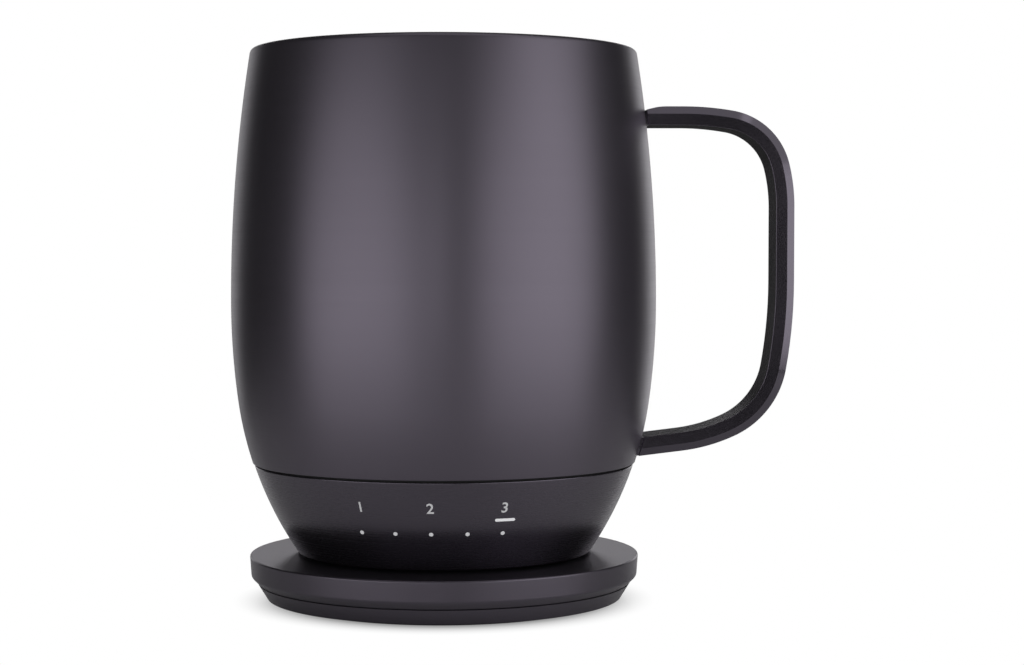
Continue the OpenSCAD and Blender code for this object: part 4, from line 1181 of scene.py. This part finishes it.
@dataclass
class Handle:
    """Strap handle with bevelled outer edges, let into the barrel's line at both ends."""

    sweep: SweepTree
    width: float = 13.0
    thickness: float = 4.2
    bevel: Point = (1.7, 1.2)
    rounding: float = 0.12
    sharp: float = 28.0
    finger_gap: float = 26.2
    top_arm_z: float = 97.5
    low_arm_z: float = 23.5
    sunk: float = 5.2
    top_bends: tuple[Point, ...] = ((61.0, 10.0), (13.5, 66.0), (38.0, 14.0))
    low_bends: tuple[Point, ...] = ((111.0, 10.0), (18.0, 55.0), (37.0, 18.0))
    bend_step: float = 1.5
    crown_l: float = 4.4
    crown_r: float = 12.6
    crown_step: float = 0.55
    crown_count: int = 6
    joint_in: float = 0.8
    joint_w: float = 0.2
    joint_depth: float = 0.12
    joint_run: float = 2.0

    @property
    def end_x(self) -> float:
        """Distance of the lower arm's sunk end from the axis."""
        return LINE.radius(self.low_arm_z) - self.sunk

    def section(self) -> list[Point]:
        """Outline of the strap.

        Returns:
            Outward and sideways distances of its points.
        """
        t, w, r = self.thickness / 2, self.width / 2, self.rounding
        return [
            (t - self.bevel[0], -w), (t, self.bevel[1] - w), (t, w - self.bevel[1]), (t - self.bevel[0], w),
            *arc((r - t, w - r), r, 90, 180, steps=6), *arc((r - t, r - w), r, 180, 270, steps=6),
        ]

    @staticmethod
    def _bend(place: Point, heading: float, radius: float, turn: float) -> tuple[Point, float]:
        """End of a clockwise bend.

        Args:
            place: Where the bend starts.
            heading: Heading there in degrees.
            radius: Radius of the bend.
            turn: Its angle in degrees.

        Returns:
            Place and heading after the bend.
        """
        a, b = math.radians(heading), math.radians(heading - turn)
        x = place[0] + radius * (math.sin(a) - math.sin(b))
        return (x, place[1] + radius * (math.cos(b) - math.cos(a))), heading - turn

    def _bends(self, place: Point, heading: float, bends: Sequence[Point]) -> list[tuple[Point, float]]:
        """Chain of clockwise bends.

        Args:
            place: Where the chain starts.
            heading: Heading there in degrees.
            bends: Radius and angle of each bend.

        Returns:
            Places and headings along the chain, both ends included.
        """
        frames = [(place, heading)]
        for radius, turn in bends:
            count = math.ceil(turn / self.bend_step)
            frames += [self._bend(place, heading, radius, turn * k / count) for k in range(1, count + 1)]
            place, heading = frames[-1]
        return frames

    @staticmethod
    def _square(place: Point, heading: float) -> Station:
        """Station across the path."""
        h = math.radians(heading)
        return Station(place, (-math.sin(h), math.cos(h)))

    def _joint(self, place: Point, heading: float, into: float) -> list[Station]:
        """Joint of an arm with the barrel.

        Args:
            place: Point of the arm's middle on the barrel's face.
            heading: Heading of the path there in degrees.
            into: 1 where the path enters the barrel and -1 where it leaves it.

        Returns:
            Stations that lean with the barrel's face, from inside the barrel outwards.
        """
        h, tilt = math.radians(heading), math.radians(LINE.tilt(place[1]))
        out, up = (-math.sin(h), math.cos(h)), (-math.sin(tilt), math.cos(tilt))
        scale = up[0] * out[0] + up[1] * out[1]
        leaning = (up[0] / scale, up[1] / scale)
        narrow = (1 - 2 * self.joint_depth / self.thickness, 1 - 2 * self.joint_depth / self.width)
        steps = ((self.joint_in, narrow), (0.0, narrow), (-self.joint_w, (1.0, 1.0)))
        return [
            Station((place[0] + into * d * math.cos(h), place[1] + into * d * math.sin(h)), leaning, shrink=s)
            for d, s in steps
        ]

    def _crown(self, station: Station) -> Station:
        """Keeps the top arm under the crown that falls towards the barrel.

        Args:
            station: Station of the top arm.

        Returns:
            The station, with a limit where the crown falls.
        """
        past = LINE.radius(self.top_arm_z) + self.crown_l - station.place[0]
        if past <= 0:
            return station
        drop = self.crown_r - math.sqrt(self.crown_r**2 - past**2)
        return replace(station, limit=self.thickness / 2 - drop)

    def _top_end(self) -> list[Station]:
        """Top joint and the crowned start of the arm.

        Returns:
            Stations from the barrel outwards.
        """
        face = (LINE.radius(self.top_arm_z), self.top_arm_z)
        runs = [self.joint_run + self.crown_step * k for k in range(self.crown_count)]
        arm = [self._square((face[0] + run, face[1]), 0.0) for run in runs]
        return [self._crown(station) for station in (*self._joint(face, 0.0, -1.0), *arm)]

    def _low_end(self, heading: float) -> list[Station]:
        """End of the lower arm and its joint.

        Args:
            heading: Heading of the arm in degrees.

        Returns:
            Stations from the arm into the barrel.
        """
        along, rise = math.cos(math.radians(heading)), math.sin(math.radians(heading))
        reach, rounds = self.sunk, 8
        # Each round brings the reach closer to where the arm meets the barrel's face.
        for _ in range(rounds):
            reach = (LINE.radius(self.low_arm_z - reach * rise) - self.end_x) / -along
        face = (self.end_x - reach * along, self.low_arm_z - reach * rise)
        arm = (face[0] - self.joint_run * along, face[1] - self.joint_run * rise)
        return [self._square(arm, heading), *self._joint(face, heading, 1.0)[::-1]]

    def stations(self) -> list[Station]:
        """Places that the section passes through.

        Returns:
            Stations from the top joint to the bottom one.
        """
        grip_x = LINE.widest_r + self.finger_gap + self.thickness / 2
        (top_x, _), _ = self._bends((0.0, 0.0), 0.0, self.top_bends)[-1]
        (low_x, low_drop), heading = self._bends((0.0, 0.0), -90.0, self.low_bends)[-1]
        h = math.radians(heading)
        arm_run = (grip_x + low_x - self.end_x) / -math.cos(h)
        low_z = self.low_arm_z - arm_run * math.sin(h) - low_drop
        top = self._bends((grip_x - top_x, self.top_arm_z), 0.0, self.top_bends)
        low = self._bends((grip_x, low_z), -90.0, self.low_bends)
        middle = [self._square(place, turn) for place, turn in [*top, *low]]
        return [*self._top_end(), *middle, *self._low_end(heading)]

    def build(self) -> None:
        """Makes the strap."""
        stations = [replace(station, place=lifted([station.place])[0]) for station in self.stations()]
        strap = self.sweep.build("handle_strap", stations, self.section(), "handle_black")
        add_piece(strap, Body.MUG, "handle_black", "handle", sharp=self.sharp)


@dataclass
class BaseBand:
    """Base under the seam with its windows, numbers and button hole."""

    revolve: RevolveTree
    inset: float = 0.2
    low: float = 0.5
    top: float = 20.1
    low_round: float = 0.8
    top_round: float = 0.2
    wall: float = 2.2
    spigot_r: float = 38.6
    ledge_z: float = 6.4
    cover_r: float = 29.53
    display_azimuth: float = -93.0
    dot_z: float = 8.85
    dot_r: float = 0.48
    dot_pitch: float = 11.5
    dots_aside: int = 2
    bar_z: float = 11.8
    bar_size: Point = (4.46, 0.71)
    bar_turn: float = 23.0
    button_azimuth: float = 90.0
    button_z: float = 11.5
    button_hole: float = 4.5
    number_turns: tuple[float, ...] = (-21.5, 0.0, 22.3)
    number_z: float = 14.6
    number_h: float = 2.4
    number_share: float = 0.72
    number_bold: float = 0.02
    number_sharp: float = 20.0
    number_steps: int = 6
    ink: float = 0.03

    def outline(self) -> list[Point]:
        """Closed outline of the base's wall.

        Returns:
            Radius and height of its points.
        """
        low = LINE.low_corner(self.low, self.inset, self.low_round)
        top = LINE.top_corner(self.top, self.inset, self.top_round, steps=6)
        face = LINE.run(low[-1][1], top[0][1], self.inset, steps=48)
        inner = LINE.run(self.top - self.wall, self.ledge_z, self.inset + self.wall, steps=16)
        return [
            (self.cover_r, self.low), *low, *face[1:-1], *top, (self.spigot_r, self.top),
            (self.spigot_r, self.top - self.wall), *inner, (self.cover_r, self.ledge_z),
        ]

    def button_face(self) -> Matrix:
        """Plane on the band at the button's middle."""
        return on_band(self.button_azimuth, self.button_z, self.inset)

    def openings(self) -> list[Opening]:
        """Windows and the button's hole.

        Returns:
            The openings, cut through the wall.
        """
        window_cut, button_cut = (-2 * self.wall, 1.0), (-3 * self.wall, 2.0)
        turns = [i * self.dot_pitch for i in range(-self.dots_aside, self.dots_aside + 1)]
        dots = [on_band(self.display_azimuth + turn, self.dot_z, self.inset) for turn in turns]
        bar = on_band(self.display_azimuth + self.bar_turn, self.bar_z, self.inset)
        return [
            *(Opening(circle(self.dot_r, points=24), dot, *window_cut) for dot in dots),
            Opening(stadium(*self.bar_size), bar, *window_cut),
            Opening(circle(self.button_hole, points=72), self.button_face(), *button_cut),
        ]

    def _number(self, text: str, azimuth: float) -> bpy.types.Object:
        """One printed number, laid on the band.

        Args:
            text: The number.
            azimuth: Direction of its middle from the axis in degrees.

        Returns:
            The piece.
        """
        curve = bpy.data.curves.new("number", "FONT")
        curve.body = text
        curve.align_x = "CENTER"
        curve.size = self.number_h / self.number_share
        curve.offset = self.number_bold * self.number_h
        curve.extrude = self.ink
        curve.resolution_u = self.number_steps
        piece = plain_copy(f"number_{text}", new_object("number", curve), finish_of("ink_white"))
        lean = math.cos(math.radians(LINE.tilt(self.number_z, self.inset)))
        for vertex in piece.data.vertices:
            x, y, depth = vertex.co
            z = self.number_z + (y - self.number_h / 2) * lean
            r = LINE.radius(z, self.inset)
            a = math.radians(azimuth) + x / r
            vertex.co = Vector(((r + depth) * math.cos(a), (r + depth) * math.sin(a), z + COASTER_H)) * MM
        return piece

    def build(self) -> None:
        """Makes the band and its numbers."""
        whole = self.revolve.build("base_band", lifted(self.outline()), "base_coat")
        add_piece(cut_out(whole, self.openings()), Body.MUG, "base_coat", "base_housing")
        for text, turn in zip("123", self.number_turns):
            number = self._number(text, self.display_azimuth + turn)
            add_piece(number, Body.MUG, "lens_white", sharp=self.number_sharp)


@dataclass
class Coaster:
    """Upper and lower shell of the charging coaster."""

    revolve: RevolveTree
    top_r: float = 43.5
    lean: float = 4.0
    top_edge: float = 0.4
    side_round: float = 1.0
    side_round_z: float = 6.2
    parting_z: float = 4.1
    parting_gap: float = 0.04
    boss_r: float = 23.779
    boss_h: float = 1.4
    boss_edge: float = 0.3
    top_t: float = 1.6
    hollow_r: float = 39.8
    foot_top_r: float = 41.7
    foot_low_r: float = 39.7
    foot_lift: float = 0.8
    floor_t: float = 1.8
    rim_h: float = 1.6
    rim_t: float = 1.6
    rim_play: float = 0.15
    pad: Point = (29.97, 36.03)
    pad_z: float = 1.6
    inlet_z: float = 7.03
    inlet_size: Point = (9.24, 3.56)
    inlet_depth: float = 7.3
    pin_spots: tuple[float, ...] = (6.8, -14.8)
    pin_hole: float = 1.65

    def _side_centre(self, r: float, z: float) -> Point:
        """Centre of a rounding that touches the leaning side at a height."""
        lean = math.radians(self.lean)
        return self.top_r - ((COASTER_H - z) * math.sin(lean) + r) / math.cos(lean), z

    def top_outline(self) -> list[Point]:
        """Closed outline of the upper shell.

        Returns:
            Radius and height of its points.
        """
        side = self._side_centre(self.side_round, self.side_round_z)
        low = arc(side, self.side_round, -45, -self.lean, steps=8)
        # Below this rounding the side runs in at 45 degrees, down to the parting line.
        run_in = low[0][1] - self.parting_z
        edge = self._side_centre(self.top_edge, COASTER_H - self.top_edge)
        high = arc(edge, self.top_edge, -self.lean, 90, steps=8)
        boss_top, ceiling = COASTER_H + self.boss_h, COASTER_H - self.top_t
        boss = arc((self.boss_r - self.boss_edge, boss_top - self.boss_edge), self.boss_edge, 0, 90, steps=5)
        return [
            (self.hollow_r, self.parting_z), (low[0][0] - run_in, self.parting_z), *low,
            *high, (self.boss_r, COASTER_H), *boss, (0.0, boss_top), (0.0, ceiling), (self.hollow_r, ceiling),
        ]

    def bottom_outline(self) -> list[Point]:
        """Closed outline of the lower shell.

        Returns:
            Radius and height of its points.
        """
        foot_top = self.parting_z - self.parting_gap
        rim_r, rim_top = self.hollow_r - self.rim_play, self.parting_z + self.rim_h
        floor_top = self.foot_lift + self.floor_t
        return [
            (0.0, self.foot_lift), (self.pad[0], self.foot_lift), (self.pad[0], self.pad_z),
            (self.pad[1], self.pad_z), (self.pad[1], self.foot_lift), (self.foot_low_r, self.foot_lift),
            (self.foot_top_r, foot_top), (rim_r, foot_top), (rim_r, rim_top), (rim_r - self.rim_t, rim_top),
            (rim_r - self.rim_t, floor_top), (0.0, floor_top),
        ]

    def openings(self) -> list[Opening]:
        """Hole of the inlet and holes of the pins.

        Returns:
            The openings, cut through the side and the top.
        """
        facing_back = Matrix(((1, 0, 0), (0, 0, -1), (0, 1, 0))).to_4x4()
        inlet = Matrix.Translation((0, self.top_r * MM, self.inlet_z * MM)) @ facing_back
        pins = [Matrix.Translation((x * MM, 0, COASTER_H * MM)) for x in self.pin_spots]
        inlet_cut, pin_cut = (-2.0, 2 * self.inlet_depth), (-2 * self.top_t, 2 * self.boss_h)
        return [
            Opening(stadium(*self.inlet_size), inlet, *inlet_cut),
            *(Opening(circle(self.pin_hole, points=48), pin, *pin_cut) for pin in pins),
        ]

    def build(self) -> None:
        """Makes both shells."""
        whole = self.revolve.build("coaster_lid", self.top_outline(), "coaster_black")
        add_piece(cut_out(whole, self.openings()), Body.COASTER, "coaster_black", "coaster_top")
        tray = self.revolve.build("coaster_tray", self.bottom_outline(), "coaster_black")
        add_piece(tray, Body.COASTER, "coaster_black", "coaster_bottom")


@dataclass
class Springs:
    """Springs under the button and the two charging pins, which shorten as these are pressed."""

    wind: CoilTree
    band: BaseBand
    coaster: Coaster
    button_seat: float = 7.43
    pin_seat: float = 5.83

    def coils(self) -> dict[str, Coil]:
        """The three springs.

        Returns:
            Each spring by the name of its piece.
        """
        deep = self.band.button_face() @ Matrix.Translation((0, 0, -self.button_seat * MM))
        inner, outer = (Matrix.Translation((x * MM, 0, self.pin_seat * MM)) for x in self.coaster.pin_spots)
        return {
            "button_coil": Coil("button_spring", Body.MUG, "button_press", deep,
                                radius=2.1, wire=0.2, turns=3.0, length=3.17, travel=0.6),
            "inner_pin_coil": Coil("pin_spring_inner", Body.COASTER, "inner_pin_press", inner),
            "outer_pin_coil": Coil("pin_spring_outer", Body.COASTER, "outer_pin_press", outer),
        }

    def build(self) -> None:
        """Makes the springs and puts each on its body."""
        for name, coil in self.coils().items():
            spring = self.wind.build(name, coil, "hardware_steel")
            add_piece(spring, coil.body, "hardware_steel", coil.node)
            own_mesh(spring)


def dress_frame() -> None:
    """Gives every node of the frame the finish of its slot."""
    for part in frame["record"]["subparts"]:
        mesh = frame["nodes"][part["node"]].data
        mesh.materials.clear()
        mesh.materials.append(finish_of(part["material_slot"]))
        LOG.info("%s: finish %s", part["node"], part["material_slot"])


# The studio


@dataclass(frozen=True)
class Softbox:
    """Oval lamp that faces a point near the mug."""

    name: str
    azimuth: float
    elevation: float
    width: float
    height: float
    radiance: float
    distance: float = 1.2

    def build(self, target: Vector) -> None:
        """Makes the lamp.

        Args:
            target: Point that it faces.
        """
        a, e = math.radians(self.azimuth), math.radians(self.elevation)
        away = Vector((math.sin(a) * math.cos(e), -math.cos(a) * math.cos(e), math.sin(e)))
        data = bpy.data.lights.new(self.name, "AREA")
        data.shape = "ELLIPSE"
        data.size, data.size_y = self.width, self.height
        area = math.pi / 4 * self.width * self.height
        data.energy = math.pi * area * self.radiance
        lamp = new_object(self.name, data)
        lamp.location = target + away * self.distance
        lamp.rotation_mode = "QUATERNION"
        lamp.rotation_quaternion = away.to_track_quat("Z", "Y")
        lamp.visible_camera = False


@dataclass
class Studio:
    """Floor, lamps, surroundings and camera, in metres apart from its lens and sensor."""

    floor_r: float = 0.28
    paper: Triple = (0.6, 0.6, 0.6)
    paper_roughness: float = 0.35
    shadow_r: Point = (0.030, 0.048)
    fill: float = 0.35
    gloom: float = 0.03
    camera_place: Triple = (0.00994, -0.47437, 0.07835)
    camera_heading: float = 0.636
    camera_pitch: float = 2.249
    lens: float = 74.35
    sensor_w: float = 36.0
    clip: Point = (0.01, 50.0)
    target: Triple = (0.0, 0.0, 0.06)
    softboxes: tuple[Softbox, ...] = (
        Softbox("left_box", -43.5, 0.0, 1.65, 0.8, 1.58),
        Softbox("right_box", 51.5, 2.0, 1.8, 0.82, 1.6),
        Softbox("front_box", -2.0, 3.0, 0.14, 0.5, 2.9),
        Softbox("top_box", 0.0, 76.0, 1.5, 1.0, 0.6),
        Softbox("corner_box", 72.0, 38.0, 1.2, 1.1, 0.75),
        Softbox("back_box", 180.0, 21.0, 0.9, 0.36, 1.9, distance=1.3),
        Softbox("back_left_box", -152.0, 5.0, 0.55, 0.65, 0.92, distance=1.3),
        Softbox("back_right_box", 153.0, 0.0, 0.55, 0.95, 1.35, distance=1.3),
    )

    def _floor(self) -> None:
        """Pale floor that keeps the shadow and shows white elsewhere."""
        sheet = Sheet("floor_paper")
        sockets = {"Base Color": (*self.paper, 1.0), "Roughness": self.paper_roughness}
        paper = sheet.field(PRINCIPLED, None, sockets)
        glow = sheet.field("ShaderNodeEmission", None, {"Color": (*WHITE, 1.0), "Strength": 1.0})
        low, high = self.shadow_r
        far = sheet.axis_distance().above((low + high) / 2, high - low)
        seen = sheet.field("ShaderNodeLightPath", output="Is Camera Ray") * far
        mesh = bpy.data.meshes.new("floor")
        edge = [(x, y, 0.0) for x, y in circle(self.floor_r, points=144)]
        mesh.from_pydata(edge, [], [range(len(edge))])
        mesh.materials.append(sheet.finish("ShaderNodeMixShader", {0: seen, 1: paper, 2: glow}))
        floor = new_object("floor", mesh)

    def _surroundings(self) -> None:
        """World that is white to the camera, nearly dark to reflections and a soft fill to the rest."""
        world = bpy.data.worlds.new("studio")
        world.use_nodes = True
        tree = NodeTree(world.node_tree)
        fill, gloom, white = (
            tree.field("ShaderNodeBackground", None, {"Color": (*WHITE, 1.0), "Strength": strength})
            for strength in (self.fill, self.gloom, 1.0)
        )
        for light, ray in ((gloom, "Is Glossy Ray"), (white, "Is Camera Ray")):
            seen = tree.field("ShaderNodeLightPath", output=ray)
            fill = tree.field("ShaderNodeMixShader", None, {0: seen, 1: fill, 2: light})
        tree.node("ShaderNodeOutputWorld", None, {"Surface": fill})
        bpy.context.scene.world = world

    def _camera(self) -> None:
        """Camera at the photograph's viewing angle."""
        h, p = math.radians(self.camera_heading), math.radians(self.camera_pitch)
        ahead = Vector((math.sin(h) * math.cos(p), math.cos(h) * math.cos(p), -math.sin(p)))
        data = bpy.data.cameras.new("camera")
        data.sensor_width = self.sensor_w
        data.lens = self.lens
        data.clip_start, data.clip_end = self.clip
        camera = new_object("camera", data)
        camera.location = self.camera_place
        camera.rotation_mode = "QUATERNION"
        camera.rotation_quaternion = ahead.to_track_quat("-Z", "Y")
        bpy.context.scene.camera = camera

    def build(self) -> None:
        """Sets up the whole studio."""
        bpy.context.scene.view_settings.view_transform = "Standard"
        self._floor()
        self._surroundings()
        for box in self.softboxes:
            box.build(Vector(self.target))
        self._camera()


def main() -> None:
    """Dresses the frame, builds the pieces in order and sets up the studio."""
    logging.basicConfig(level=logging.INFO, format="%(name)s: %(message)s")
    revolve = RevolveTree()
    dress_frame()
    Barrel(revolve).build()
    Handle(SweepTree()).build()
    band, coaster = BaseBand(revolve), Coaster(revolve)
    band.build()
    coaster.build()
    Springs(CoilTree(), band, coaster).build()
    Studio().build()


if __name__ == "__main__":
    main()
